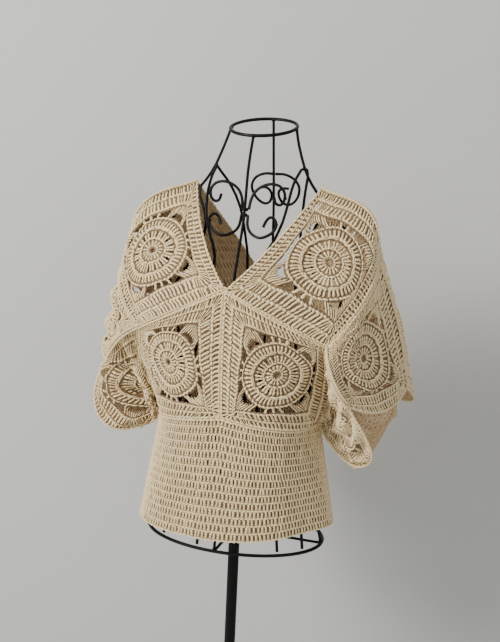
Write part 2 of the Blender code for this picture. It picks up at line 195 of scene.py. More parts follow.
# The body tube's hem, and its soft flutes. A flute's columns: angle round the hem from the
# right side in degrees, half width in degrees, depth.
HEM = {"half_width": 150.0, "front": 106.0, "back": 106.0, "left_z": 16.0, "right_z": 38.0}
FLUTES = (
    (-150, 16, 3.0), (-112, 12, -3.5), (-68, 14, 3.0), (-35, 12, -4.0), (-8, 12, 5.0),
    (38, 16, -4.0), (78, 14, 4.0), (122, 16, -4.0), (160, 14, 3.5),
)

# Stops of the short chain that closes the foot of the V neck.
V_FOOT = ((-13, -88, 392), (-4, -92, 389), (8, -92, 388.5), (19, -89, 391))

# Where the form's wires are welded to each other. Columns: x, y, z, half size.
WELDS = (
    (2.5, -18, 494, 2.7), (-2.5, -18, 494, 2.7), (2.5, -20, 486, 2.7), (-2.5, -20, 486, 2.7),
    (2.5, 127, 541, 2.7), (-2.5, 127, 541, 2.7), (3.0, -70, 330, 2.7), (-3.0, -70, 330, 2.7),
    (0, 5.5, 597.5, 3.2), (0, 103, 623, 3.2), (50.5, 54.5, 610, 3.2), (-50.5, 54.5, 610, 3.2),
    (68, 41.5, 554, 2.7), (-68, 41.5, 554, 2.7), (70, 47.5, 553, 2.7), (-70, 47.5, 553, 2.7),
    (57, -10.5, 513, 2.7), (-57, -10.5, 513, 2.7), (50.5, -27, 476, 2.7), (-50.5, -27, 476, 2.7),
    (0, -93.5, 2.5, 3.2), (0, 93.5, 2.5, 3.2), (136.5, 0, 2.5, 3.2), (-136.5, 0, 2.5, 3.2),
    (11, 0, 0, 3.2), (-11, 0, 0, 3.2), (0, 11, 0, 3.2), (0, -11, 0, 3.2),
)

CORNER_AT: dict[str, Pair] = {name: {"right": r, "left": l} for name, r, l in CORNERS}
SEAM_ROUTE: dict[tuple[str, str], Pair] = {
    (a, b): {"right": r, "left": l} for a, b, r, l, _ in SEAMS
}


class Side(Enum):
    """Side of the garment, as seen from the front."""

    RIGHT = "right"
    LEFT = "left"


class Strand(Enum):
    """The two strands that every stitch is made of."""

    POST = "post"
    LOOP = "loop"


# ---------------------------------------------------------------- surfaces of the garment


def to_world(points: np.ndarray) -> np.ndarray:
    """Turn rows in millimetres from the hip ring into metres above the base's underside."""
    return (points + np.array((0.0, 0.0, HIP_HEIGHT))) * MM


def line_at(stops: Sequence[Row], t: np.ndarray) -> np.ndarray:
    """Points of the smooth line through evenly spaced stops.

    Args:
        stops: the places that the line passes through.
        t: how far along each point is, 0 at the first stop and 1 at the last.

    Returns:
        One row of x, y, z for each value of t.
    """
    last = len(stops) - 1
    points = np.zeros((len(t), 3))
    for i, stop in enumerate(stops):
        weight = np.ones(len(t))
        for j in range(last + 1):
            if j != i:
                weight *= (t * last - j) / (i - j)
        points += weight[:, None] * np.array(stop, float)
    return points


def seam_at(side: Side, start: str, end: str, t: np.ndarray) -> np.ndarray:
    """Points of the seam between two named corners.

    Args:
        side: the side of the garment.
        start: the corner at t = 0.
        end: the corner at t = 1.
        t: how far along each point is.

    Returns:
        One row of x, y, z for each value of t.
    """
    if (start, end) not in SEAM_ROUTE:
        return seam_at(side, end, start, 1.0 - t)
    route = SEAM_ROUTE[(start, end)][side.value]
    return line_at([CORNER_AT[start][side.value], *route, CORNER_AT[end][side.value]], t)


class Panel(Protocol):
    """A panel of cloth with a surface over two parameters."""

    sign: float

    def surface(self, u: np.ndarray, v: np.ndarray) -> np.ndarray:
        """Points of the outer surface."""


def raised(panel: Panel, u: np.ndarray, v: np.ndarray, height: np.ndarray) -> np.ndarray:
    """Points above a panel's outer surface, in millimetres.

    Args:
        panel: the panel.
        u: first parameter of each point.
        v: second parameter of each point.
        height: how far outwards of the surface each point lies.

    Returns:
        One row of x, y, z for each point.
    """
    reach = 0.004
    along = panel.surface(u + reach, v) - panel.surface(u - reach, v)
    down = panel.surface(u, v + reach) - panel.surface(u, v - reach)
    out = panel.sign * np.cross(along, down)
    out /= np.maximum(np.linalg.norm(out, axis=1, keepdims=True), 1e-9)
    return panel.surface(u, v) + out * height[:, None]


@dataclass(frozen=True)
class Square:
    """One square: its corners, the middle it crowns over and how slack it hangs."""

    name: str
    side: Side
    corners: tuple[str, str, str, str]
    middle: Row
    slack: tuple[float, float]

    @property
    def shut(self) -> bool:
        """Whether the panel hangs so slack that its eyelets are pulled shut."""
        return self.name in SHUT_PANELS

    @property
    def plain(self) -> bool:
        """Whether the panel is worked in plain rows, with no motif."""
        return self.name in PLAIN_PANELS

    @property
    def label(self) -> str:
        """Name with its side."""
        return f"{self.name}_{self.side.value}"

    @property
    def sign(self) -> float:
        """Which way round the surface's outside lies."""
        facing = -1.0 if self.name.startswith("front") else 1.0
        return facing if self.side is Side.RIGHT else -facing

    def stretched(self, u: np.ndarray, v: np.ndarray) -> np.ndarray:
        """Blend the square's four seams; u runs outwards and v runs down."""
        a, b, c, d = self.corners
        side = self.side
        u1, v1 = u[:, None], v[:, None]
        across = (1.0 - v1) * seam_at(side, a, b, u) + v1 * seam_at(side, d, c, u)
        down = (1.0 - u1) * seam_at(side, a, d, v) + u1 * seam_at(side, b, c, v)
        at = [np.array(CORNER_AT[name][side.value], float) for name in self.corners]
        flat = ((1.0 - v1) * ((1.0 - u1) * at[0] + u1 * at[1])
                + v1 * ((1.0 - u1) * at[3] + u1 * at[2]))
        return across + down - flat

    def surface(self, u: np.ndarray, v: np.ndarray) -> np.ndarray:
        """Points of the square's outer surface: seams, crown and folds."""
        half = np.array([0.5])
        points = self.stretched(u, v)
        crown = np.array(self.middle, float) - self.stretched(half, half)[0]
        points += (16.0 * u * (1.0 - u) * v * (1.0 - v))[:, None] * crown
        for name, side, across, where, half_width, move in FOLDS:
            if name == self.name and side == self.side.value:
                offset = ((u if across == "u" else v) - where) / half_width
                fade = np.sin(np.pi * u) * np.sin(np.pi * v)
                points += (np.exp(-offset * offset) * fade)[:, None] * np.array(move, float)
        return points

    def roundness(self) -> np.ndarray:
        """The stretch of the chart that keeps the middle rounds circular on a sheared square."""
        e, half = 0.01, np.array([0.5])
        along = (self.surface(half + e, half) - self.surface(half - e, half))[0]
        down = (self.surface(half, half + e) - self.surface(half, half - e))[0]
        metric = np.array([[along @ along, along @ down], [along @ down, down @ down]])
        values, vectors = np.linalg.eigh(metric)
        root = vectors @ np.diag(values ** -0.5) @ vectors.T
        return root * np.linalg.det(metric) ** 0.25

    @property
    def phase(self) -> int:
        """A number of the square's own that sets where its waves start."""
        return sum(map(ord, self.label))

    @staticmethod
    def inward(flat: np.ndarray, power: int) -> np.ndarray:
        """One in the middle of the square, falling to nothing at its seams."""
        return np.clip(1.0 - (flat / HALF_SQUARE) ** power, 0.0, 1.0).prod(axis=1)

    def relief(self, flat: np.ndarray) -> np.ndarray:
        """Height of the square's waves, folds and raised rounds at points of its chart.

        Args:
            flat: rows of x and y in millimetres from the square's middle.

        Returns:
            One height in millimetres for each point.
        """
        fade = self.inward(flat, 4)
        wave = (np.sin(WAVES_ACROSS * flat[:, 0] + self.phase)
                * np.cos(WAVES_DOWN * flat[:, 1] + 2 * self.phase))
        height = fade * WAVE_HEIGHT * wave
        if self.label in CRUMPLES:
            depth, spacing = CRUMPLES[self.label]
            across = flat @ np.array(FOLD_RUN)
            along = flat @ np.array((-FOLD_RUN[1], FOLD_RUN[0]))
            bend = FOLD_BEND * np.sin(FOLD_BENDS * along + self.phase)
            height = height + depth * self.inward(flat, 8) * np.sin(2.0 * math.pi * across / spacing + bend)
        if not self.plain:
            far = np.hypot(flat[:, 0], flat[:, 1])
            for rise, radius, width in RAISED_ROUNDS:
                height = height + fade * rise * np.exp(-((far - radius) / width) ** 2)
        return height

    def slackened(self, flat: np.ndarray) -> np.ndarray:
        """Pull the eyelets part shut and let the rounds wander a little.

        Args:
            flat: rows of x and y in millimetres from the square's middle.

        Returns:
            The rows, moved.
        """
        moved = flat.copy()
        for axis, slack in enumerate(self.slack):
            far = np.abs(flat[:, axis])
            rounds = (0.0, DISC.radius, FRAME.radius, HALF_SQUARE)
            pulled = (0.0, DISC.radius + DISC_SPREAD * slack, FRAME.radius - FRAME_DROP * slack, HALF_SQUARE)
            inside = np.sign(flat[:, axis]) * np.interp(far, rounds, pulled)
            moved[:, axis] = np.where(far < HALF_SQUARE, inside, flat[:, axis])
        fade = self.inward(flat, 4)[:, None]
        return moved + WANDER * fade * self.wander(flat)

    def wander(self, flat: np.ndarray) -> np.ndarray:
        """How far each point drifts sideways, from -1 to 1."""
        return np.sin(WANDERS * flat[:, ::-1] + self.phase)

    def on_cloth(self, chart: np.ndarray) -> np.ndarray:
        """Lay points of the flat chart on the square.

        Args:
            chart: rows of x and y in millimetres from the square's middle, and height.

        Returns:
            Rows of x, y, z in metres in the world.
        """
        flat = chart[:, :2]
        height = chart[:, 2] + self.relief(flat)
        if not self.plain:
            flat = self.slackened(flat)
        flat = flat / HALF_SQUARE
        reach = np.clip((np.abs(flat).max(axis=1) - 0.5) / 0.5, 0.0, 1.0)
        keep = (1.0 - reach * reach * (3.0 - 2.0 * reach))[:, None]
        if not self.plain:
            flat = flat + keep * (flat @ self.roundness().T - flat)
        u, v = 0.5 + 0.5 * flat[:, 0], 0.5 + 0.5 * flat[:, 1]
        return to_world(raised(self, u, v, height - CLOTH / 2.0))


@dataclass(frozen=True)
class BodyTube:
    """The plain crocheted body below the squares, closed all round."""

    label: str = "body_tube"
    sign: float = -1.0

    def hem(self, angle: np.ndarray) -> np.ndarray:
        """Points of the hem at angles in degrees from the right side, front at -90."""
        depth = np.where(angle % 360.0 > 180.0, HEM["front"], HEM["back"])
        swing = sum(deep * np.exp(-(((angle - at + 180.0) % 360.0 - 180.0) / wide) ** 2)
                    for at, wide, deep in FLUTES)
        turn = np.radians(angle)
        lift = (0.5 + 0.5 * np.cos(turn)) ** 2
        return np.stack([(HEM["half_width"] + swing) * np.cos(turn), (depth + swing) * np.sin(turn),
                         HEM["left_z"] + (HEM["right_z"] - HEM["left_z"]) * lift], axis=1)

    def surface(self, u: np.ndarray, v: np.ndarray) -> np.ndarray:
        """Points of the outer surface: u is 0 to 4 round from the front, v runs down."""
        turn = u % 4.0
        top = np.zeros((len(u), 3))
        quarters = ((Side.RIGHT, "front_waist", "underarm"), (Side.RIGHT, "underarm", "back_waist"),
                    (Side.LEFT, "back_waist", "underarm"), (Side.LEFT, "underarm", "front_waist"))
        for quarter, (side, start, end) in enumerate(quarters):
            here = (turn >= quarter) & (turn < quarter + 1)
            top[here] = seam_at(side, start, end, turn[here] - quarter)
        hem = self.hem(-90.0 + 90.0 * turn)
        return top + v[:, None] * (hem - top)

    def on_cloth(self, chart: np.ndarray) -> np.ndarray:
        """Lay points of turn, share of the drop, and height in millimetres on the tube."""
        return to_world(raised(self, chart[:, 0], chart[:, 1], chart[:, 2] - CLOTH / 2.0))


# ---------------------------------------------------------------- strands of yarn


@dataclass(frozen=True)
class Sweep:
    """A strand's route and section, in the stitch's own millimetres."""

    stops: tuple[Row, ...]
    across: tuple[float, ...]
    through: tuple[float, ...]
    sides: int
    twist: float

    def frames(self) -> list[Matrix]:
        """Placed sections along the route, each turned a little more than the last."""
        stops = [Vector(stop) for stop in self.stops]
        found = []
        for i, stop in enumerate(stops):
            ahead = (stops[min(i + 1, len(stops) - 1)] - stops[max(i - 1, 0)]).normalized()
            side = ahead.cross(Vector((0, 0, 1))).normalized()
            out = side.cross(ahead)
            turn = Matrix.Rotation(math.radians(self.twist) * i / (len(stops) - 1), 4, "Z")
            axes = Matrix((side, out, ahead)).transposed().to_4x4()
            size = Matrix.Diagonal((self.across[i], self.through[i], 1.0, 1.0))
            found.append(Matrix.Translation(stop) @ axes @ size @ turn)
        return found

    def mesh(self, name: str) -> bpy.types.Mesh:
        """Build the strand by extruding a circle from section to section.

        Args:
            name: the mesh's name.

        Returns:
            A closed mesh with the attribute "strand": place in the section, and distance along.
        """
        frames = self.frames()
        bm = bmesh.new()
        strand = bm.verts.layers.float_vector.new("strand")
        made = bmesh.ops.create_circle(bm, cap_ends=True, segments=self.sides, radius=1.0,
                                       matrix=frames[0])["verts"]
        tip = made[0].link_faces[0]
        along = 0.0
        for i, place in enumerate(frames):
            if i:
                base = tip
                grown = bmesh.ops.extrude_face_region(bm, geom=[base])["geom"]
                if i > 1:
                    bmesh.ops.delete(bm, geom=[base], context="FACES_ONLY")
                made = [item for item in grown if isinstance(item, bmesh.types.BMVert)]
                tip = next(item for item in grown if isinstance(item, bmesh.types.BMFace))
                bmesh.ops.transform(bm, matrix=place @ frames[i - 1].inverted(), verts=made)
                along += (place.translation - frames[i - 1].translation).length
            for vert in made:
                local = place.inverted() @ vert.co
                vert[strand] = Vector((local.x, local.y, along))
        bmesh.ops.recalc_face_normals(bm, faces=list(bm.faces))
        mesh = bpy.data.meshes.new(name)
        bm.to_mesh(mesh)
        bm.free()
        return mesh


# A stitch is 6 wide and 12 tall. Its post stands on the row below and its loop lies along the
# row above, slanting down to the right, with its middle proud of the cloth.
STITCH = (6.0, 12.0)
SWEEPS: dict[Strand, Sweep] = {
    Strand.POST: Sweep(
        stops=((0.6, -0.6, -0.3), (-0.5, 2.6, 0.5), (0.3, 5.5, 0.4), (-0.3, 8.4, 0.7), (0.3, 11.0, -0.2)),
        across=(1.3, 2.1, 1.6, 2.05, 1.3), through=(1.1, 1.85, 1.4, 1.75, 1.1),
        sides=5, twist=170.0),
    Strand.LOOP: Sweep(
        stops=((-2.9, 11.2, -0.8), (-1.6, 12.3, 0.8), (0.2, 12.1, 1.5), (1.8, 11.4, 0.9),
               (2.9, 10.6, -0.8)),
        across=(0.8, 1.65, 1.5, 1.65, 0.8), through=(0.9, 1.55, 1.7, 1.5, 0.9),
        sides=4, twist=80.0),
}


class Yarn:
    """Copies of the two strands, laid out on a panel's chart and joined in one mesh."""

    def __init__(self, seed: int) -> None:
        """Start with no strands and a seeded source of small irregularities."""
        self.random = np.random.default_rng(seed)
        self.laid: dict[Strand, list[np.ndarray]] = {strand: [] for strand in Strand}

    def local(self, strand: Strand, count: int, loose: float = 1.0) -> np.ndarray:
        """Corner points of many copies of a strand, in shares of a stitch, slightly uneven.

        Args:
            strand: which strand.
            count: how many copies.
            loose: how uneven the copies are.

        Returns:
            An array of copies by points by three: share of the width, share of the height and
            height off the cloth in millimetres.
        """
        mesh = strand_mesh(strand)
        flat = np.zeros(len(mesh.vertices) * 3)
        mesh.vertices.foreach_get("co", flat)
        points = np.repeat(flat.reshape(1, -1, 3), count, axis=0)
        thick = 1.0 + 0.10 * loose * self.random.standard_normal((count, 1))
        lean = 0.06 * loose * self.random.standard_normal((count, 1))
        shift = 0.35 * loose * self.random.standard_normal((count, 1))
        lift = 0.20 * loose * self.random.standard_normal((count, 1))
        points[:, :, 0] = points[:, :, 0] * thick + shift + lean * (points[:, :, 1] - 6.0)
        points[:, :, 2] = points[:, :, 2] * thick + lift
        return points / np.array((STITCH[0], STITCH[1], 1.0))

    def lay(self, strand: Strand, points: np.ndarray) -> None:
        """Keep copies of a strand, given as an array of copies by points by three."""
        self.laid[strand].append(points)

    def joined(self, name: str) -> bpy.types.Mesh:
        """Join every copy laid so far.

        Args:
            name: the mesh's name.

        Returns:
            One mesh, with the attributes "strand" and "tone".
        """
        bm = bmesh.new()
        for strand, groups in self.laid.items():
            if groups:
                points = np.concatenate(groups)
                mesh = repeated(strand_mesh(strand), len(points))
                mesh.vertices.foreach_set("co", points.reshape(-1))
                tone = mesh.attributes.new("tone", "FLOAT", "POINT")
                shades = self.random.random(len(points))
                tone.data.foreach_set("value", np.repeat(shades, points.shape[1]))
                bm.from_mesh(mesh)
                bpy.data.meshes.remove(mesh)
        flip_outwards(bm)
        joined = bpy.data.meshes.new(name)
        bm.to_mesh(joined)
        bm.free()
        joined.shade_smooth()
        return joined


STRANDS: dict[Strand, bpy.types.Mesh] = {}


def strand_mesh(strand: Strand) -> bpy.types.Mesh:
    """The mesh of a strand, made once."""
    if strand not in STRANDS:
        STRANDS[strand] = SWEEPS[strand].mesh(f"{strand.value}_strand")
    return STRANDS[strand]


def repeated(mesh: bpy.types.Mesh, count: int) -> bpy.types.Mesh:
    """Repeat a mesh in place with an Array modifier.

    Args:
        mesh: the mesh to repeat.
        count: how many copies the result holds, one after another.

    Returns:
        A new mesh.
    """
    carrier = bpy.data.objects.new("carrier", mesh)
    bpy.context.scene.collection.objects.link(carrier)
    array = carrier.modifiers.new("Copies", "ARRAY")
    array.use_relative_offset = False
    array.count = count
    shown = carrier.evaluated_get(bpy.context.evaluated_depsgraph_get())
    result = bpy.data.meshes.new_from_object(shown)
    bpy.data.objects.remove(carrier)
    return result


def flip_outwards(bm: bmesh.types.BMesh) -> None:
    """Turn a closed bmesh's faces outwards if they all point inwards."""
    if bm.calc_volume(signed=True) < 0.0:
        bmesh.ops.reverse_faces(bm, faces=list(bm.faces))


def shown_object(name: str, mesh: bpy.types.Mesh, material: bpy.types.Material) -> bpy.types.Object:
    """Link a mesh as an object at the origin, with its material.

    Args:
        name: the object's name.
        mesh: its mesh.
        material: its one material.

    Returns:
        The object.
    """
    mesh.materials.clear()
    mesh.materials.append(material)
    obj = bpy.data.objects.new(name, mesh)
    bpy.context.scene.collection.objects.link(obj)
    return obj


# ---------------------------------------------------------------- the motif's chart


@dataclass(frozen=True)
class Ring:
    """One ring of the motif: its radius in millimetres, and how square it is from 0 to 1."""

    radius: float
    square: float = 0.0

    def at(self, turn: np.ndarray) -> np.ndarray:
        """Rows of x and y at turns round the ring: whole turns are the sides' middles."""
        side = np.floor(turn + 0.5)
        face = side * (math.pi / 2.0)
        angle = turn * (math.pi / 2.0)
        share = 2.0 * (turn - side)
        round_part = np.stack([np.cos(angle), np.sin(angle)], axis=-1)
        square_part = np.stack([np.cos(face) - share * np.sin(face),
                                np.sin(face) + share * np.cos(face)], axis=-1)
        return self.radius * ((1.0 - self.square) * round_part + self.square * square_part)


CENTRE = Ring(2.8)
EYELET = Ring(5.0)
SPOKES = Ring(16.0)
COLLAR = Ring(18.6)
PETALS = Ring(31.0)
BEAD = Ring(33.6)
DISC = Ring(45.5)
DISC_EDGE = Ring(48.0)
FRAME = Ring(58.0, 1.0)
FRAME_EDGE = Ring(61.0, 1.0)
BORDER = Ring(71.5, 1.0)
OUTER = Ring(82.0, 1.0)

# Rounds worked in rings. Columns: strand, stitches in the round, inner ring, outer ring, how
# much of its place each stitch fills, and by how much of a stitch the round is turned.
RING_ROUNDS = (
    (Strand.LOOP, 9, CENTRE, Ring(7.4), 1.15, 0.0),
    (Strand.POST, 16, EYELET, SPOKES, 0.95, 0.0),
    (Strand.LOOP, 16, Ring(7.5), Ring(18.4), 1.08, 0.5),
    (Strand.POST, 16, COLLAR, PETALS, 0.50, 0.22),
    (Strand.POST, 16, COLLAR, PETALS, 0.50, -0.22),
    (Strand.LOOP, 16, Ring(24.0), Ring(33.2), 1.05, 0.5),
    (Strand.LOOP, 32, Ring(27.0), Ring(35.0), 1.0, 0.25),
    (Strand.POST, 48, BEAD, DISC, 0.95, 0.0),
    (Strand.LOOP, 48, Ring(36.0), Ring(48.0), 1.05, 0.5),
)

# Rounds worked along the sides. Columns: strand, stitches a side, inner and outer half side.
SIDE_ROUNDS = (
    (Strand.LOOP, 21, 49.8, 60.0),
    (Strand.POST, 23, 59.8, 70.8),
    (Strand.LOOP, 23, 60.5, 71.6),
    (Strand.POST, 27, 71.2, 81.4),
    (Strand.LOOP, 27, 71.6, 82.0),
)

EYE_POSTS = (-0.22, 0.0, 0.22)
EYE_REACH = 0.60
FAN_STITCHES = 5
FAN_START = 0.36


def ring_round(yarn: Yarn, row: tuple) -> None:
    """Work one round of the motif between two rings."""
    strand, count, inner, outer, fill, turned = row
    points = yarn.local(strand, count)
    turn = 4.0 * (np.arange(count)[:, None] + 0.5 + turned + fill * points[:, :, 0]) / count
    rise = points[:, :, 1:2]
    flat = (1.0 - rise) * inner.at(turn) + rise * outer.at(turn)
    yarn.lay(strand, np.concatenate([flat, points[:, :, 2:3]], axis=2))


def side_round(yarn: Yarn, row: tuple) -> None:
    """Work one round along the four sides: upright stitches that fan out at the corners."""
    strand, count, inner, outer = row
    corner = 5.0
    for side in range(4):
        points = yarn.local(strand, count)
        width = 2.0 * outer / count
        top = -outer + width * (np.arange(count)[:, None] + 0.5 + points[:, :, 0])
        straight = inner - corner
        beyond = np.maximum(np.abs(top) - straight, 0.0) * corner / (corner + outer - inner)
        foot = np.sign(top) * (np.minimum(np.abs(top), straight) + beyond)
        rise = points[:, :, 1]
        along = (1.0 - rise) * foot + rise * top
        away = (1.0 - rise) * inner + rise * outer
        face = side * math.pi / 2.0
        flat = np.stack([away * math.cos(face) - along * math.sin(face),
                         away * math.sin(face) + along * math.cos(face), points[:, :, 2]], axis=2)
        yarn.lay(strand, flat)


PLAIN_ROWS = 14
PLAIN_STITCHES = 27


def plain_rows(yarn: Yarn) -> None:
    """Work a whole square in plain upright stitches, row below row."""
    side = 2.0 * HALF_SQUARE
    for strand in Strand:
        for row in range(PLAIN_ROWS):
            points = yarn.local(strand, PLAIN_STITCHES)
            along = side * (np.arange(PLAIN_STITCHES)[:, None] + 0.5 + points[:, :, 0]) / PLAIN_STITCHES
            down = side * (row + points[:, :, 1]) / PLAIN_ROWS
            flat = np.stack([along - HALF_SQUARE, down - HALF_SQUARE, points[:, :, 2]], axis=2)
            yarn.lay(strand, flat)


def eye_round(yarn: Yarn) -> None:
    """Work the lacy round: three posts a side between eyelets, and a fan in each corner."""
    turns, starts, widths = [], [], []
    for side in range(4):
        for share in EYE_POSTS:
            turns.append(side + share / 2.0)
            starts.append(0.0)
            widths.append(0.066)
        for k in range(FAN_STITCHES):
            share = EYE_REACH + (1.0 - EYE_REACH) * (k + 0.5) / FAN_STITCHES
            start = FAN_START * min(1.0, max(0.0, (share - 0.66) / 0.14))
            for mirrored in (1.0, -1.0):
                turns.append(side + mirrored * share / 2.0)
                starts.append(start)
                widths.append(0.044)
    turn0, start0, width0 = (np.array(values)[:, None] for values in (turns, starts, widths))
    points = yarn.local(Strand.POST, len(turns))
    turn = turn0 + width0 * points[:, :, 0]
    rise = (start0 + (1.0 - start0) * points[:, :, 1])[:, :, None]
    flat = (1.0 - rise) * DISC_EDGE.at(turn) + rise * FRAME.at(turn)
    yarn.lay(Strand.POST, np.concatenate([flat, points[:, :, 2:3]], axis=2))


# The ground of a square between its rings. Columns: ring below, ring above, share between
# them. Holes are cells of the ground left out.
STATIONS = (
    (CENTRE, CENTRE, 0.0),
    (EYELET, EYELET, 0.0),
    (SPOKES, SPOKES, 0.0),
    (SPOKES, COLLAR, 0.75),
    (COLLAR, PETALS, 0.22),
    (COLLAR, PETALS, 0.86),
    (BEAD, BEAD, 0.0),
    (DISC, DISC, 0.0),
    (DISC_EDGE, FRAME, 0.0),
    (DISC_EDGE, FRAME, 0.12),
    (DISC_EDGE, FRAME, 0.24),
    (DISC_EDGE, FRAME, 0.38),
    (DISC_EDGE, FRAME, 0.86),
    (FRAME, FRAME, 0.0),
    (FRAME_EDGE, FRAME_EDGE, 0.0),
    (FRAME_EDGE, BORDER, 0.55),
    (BORDER, BORDER, 0.0),
    (OUTER, OUTER, 0.0),
)
SECTORS = 96

# Stitches and rows of stitches in a millimetre of a square's chart.
PER_MM = (1.0 / STITCH[0], 1.0 / STITCH[1])

Chart = Callable[[np.ndarray, np.ndarray], np.ndarray]
Holes = Callable[[int, int], bool]


def is_hole(sector: int, station: int) -> bool:
    """Whether a cell of a square's ground is one of its holes.

    Args:
        sector: the cell's number round the motif, of SECTORS.
        station: the cell's number outwards, its inner edge's row in STATIONS.

    Returns:
        True where the lace is open.
    """
    per_side = SECTORS // 4
    from_middle = abs((sector + 0.5 + per_side / 2) % per_side - per_side / 2) / (per_side / 2)
    petal = sector % 6
    if station == 4:
        return petal in (0, 5)
    if station == 2:
        return petal == 2
    if station in (9, 10, 11) and from_middle < EYE_REACH - 0.02:
        return True
    if station in (9, 10):
        return from_middle > (0.78 if station == 9 else 0.86)
    return station == 14 and from_middle > 0.94


def lace_share() -> float:
    """Share of a motif square's cut that is cloth, and not a hole of the lace."""
    turn = 4.0 * np.arange(SECTORS + 1) / SECTORS
    rings = [(1.0 - share) * inner.at(turn) + share * outer.at(turn) for inner, outer, share in STATIONS]
    cloth = 0.0
    for station, (low, high) in enumerate(zip(rings, rings[1:])):
        for sector in range(SECTORS):
            if not is_hole(sector, station):
                cross = high[sector + 1] - low[sector]
                other = high[sector] - low[sector + 1]
                cloth += abs(cross[0] * other[1] - cross[1] * other[0]) / 2.0
    return cloth / (2.0 * HALF_SQUARE) ** 2


def is_never_hole(sector: int, station: int) -> bool:
    """Whether a cell of a plain or slack panel's ground is a hole: none is."""
    return False


def ground_mesh(name: str, rows: int, columns: int, chart: Chart, holes: Holes, panel: Panel,
                closed: bool, stitches: tuple[float, float]) -> bpy.types.Mesh:
    """Make the thin ground of a panel, with its holes.

    Args:
        name: the mesh's name.
        rows: cells along the chart's second parameter.
        columns: cells round the chart's first parameter.
        chart: turns grid numbers (two arrays) into chart rows.
        holes: says whether a cell is open.
        panel: the panel that the chart is laid on.
        closed: whether the first and last columns meet.
        stitches: stitches and rows of stitches in one unit of the chart.

    Returns:
        A closed thin shell, with the attribute "worked": its place counted in stitches and rows.
    """
    bm = bmesh.new()
    worked = bm.verts.layers.float_vector.new("worked")
    bmesh.ops.create_grid(bm, x_segments=columns, y_segments=rows, size=0.5)
    grid = np.array([vert.co[:2] for vert in bm.verts]) + 0.5
    numbers = np.rint(grid * np.array((columns, rows))).astype(int)
    open_cells = []
    for face in bm.faces:
        middle = face.calc_center_median()
        if holes(int((middle.x + 0.5) * columns), int((middle.y + 0.5) * rows)):
            open_cells.append(face)
    rows_out = chart(numbers[:, 0], numbers[:, 1])
    half = np.array((0.0, 0.0, GROUND / 2.0))
    steps = {}
    highs, lows = panel.on_cloth(rows_out + half), panel.on_cloth(rows_out - half)
    counted = rows_out[:, :2] * np.array(stitches)
    for vert, high, low, count in zip(bm.verts, highs, lows, counted):
        vert.co = high
        vert[worked] = (count[0], count[1], 0.0)
        steps[tuple(vert.co)] = Vector(low - high)
    bmesh.ops.delete(bm, geom=open_cells, context="FACES")
    if closed:
        bmesh.ops.remove_doubles(bm, verts=list(bm.verts), dist=1e-6)
    wall = bmesh.ops.extrude_face_region(bm, geom=list(bm.faces), use_keep_orig=True)
    for item in wall["geom"]:
        if isinstance(item, bmesh.types.BMVert):
            item.co += steps[tuple(item.co)]
    bmesh.ops.recalc_face_normals(bm, faces=list(bm.faces))
    flip_outwards(bm)
    mesh = bpy.data.meshes.new(name)
    bm.to_mesh(mesh)
    bm.free()
    mesh.shade_smooth()
    return mesh


# ---------------------------------------------------------------- finishes


class NodeSheet:
    """A node tree with short ways to add and join nodes."""

    def __init__(self, tree: bpy.types.NodeTree) -> None:
        """Keep the tree."""
        self.tree = tree

    def node(self, kind: str, **values: object) -> bpy.types.Node:
        """Add a node.

        Args:
            kind: the node's type without its ShaderNode prefix.
            values: node settings by attribute name.

        Returns:
            The new node.
        """
        made = self.tree.nodes.new(f"ShaderNode{kind}")
        for name, value in values.items():
            setattr(made, name, value)
        return made

    def join(self, source: bpy.types.NodeSocket, target: bpy.types.NodeSocket) -> None:
        """Join an output to an input."""
        self.tree.links.new(source, target)

    def math(self, operation: str, *terms: object) -> bpy.types.NodeSocket:
        """Add a Math node and feed it sockets or numbers.

        Args:
            operation: the node's operation.
            terms: sockets or numbers, in order.

        Returns:
            Its value output.
        """
        made = self.node("Math", operation=operation)
        for socket, term in zip(made.inputs, terms):
            if isinstance(term, bpy.types.NodeSocket):
                self.join(term, socket)
            else:
                socket.default_value = float(term)
        return made.outputs[0]

    def noise(self, vector: bpy.types.NodeSocket, scale: float, detail: float) -> bpy.types.NodeSocket:
        """Add a Noise texture and return its value."""
        made = self.node("TexNoise")
        made.inputs["Scale"].default_value = scale
        made.inputs["Detail"].default_value = detail
        self.join(vector, made.inputs["Vector"])
        return made.outputs["Fac"]

    def blend(self, factor: object, first: object, second: object) -> bpy.types.NodeSocket:
        """Mix two colours, each a socket or a tuple of four numbers.

        Args:
            factor: socket or number, 0 for the first colour.
            first: the first colour.
            second: the second colour.

        Returns:
            The mixed colour.
        """
        made = self.node("Mix", data_type="RGBA")
        for socket, value in zip((made.inputs[0], made.inputs[6], made.inputs[7]),
                                 (factor, first, second)):
            if isinstance(value, bpy.types.NodeSocket):
                self.join(value, socket)
            else:
                socket.default_value = value
        return made.outputs[2]


def effect_group(name: str, inputs: Sequence[tuple[str, str, object]],
                 outputs: Sequence[tuple[str, str]]) -> tuple[NodeSheet, bpy.types.Node, bpy.types.Node]:
    """Start a shader node group.

    Args:
        name: the group's name.
        inputs: name, socket type and default of each input.
        outputs: name and socket type of each output.

    Returns:
        The group's sheet, its input node and its output node.
    """
    tree = bpy.data.node_groups.new(name, "ShaderNodeTree")
    for label, kind, default in inputs:
        socket = tree.interface.new_socket(label, in_out="INPUT", socket_type=f"NodeSocket{kind}")
        socket.default_value = default
    for label, kind in outputs:
        tree.interface.new_socket(label, in_out="OUTPUT", socket_type=f"NodeSocket{kind}")
    sheet = NodeSheet(tree)
    return sheet, tree.nodes.new("NodeGroupInput"), tree.nodes.new("NodeGroupOutput")


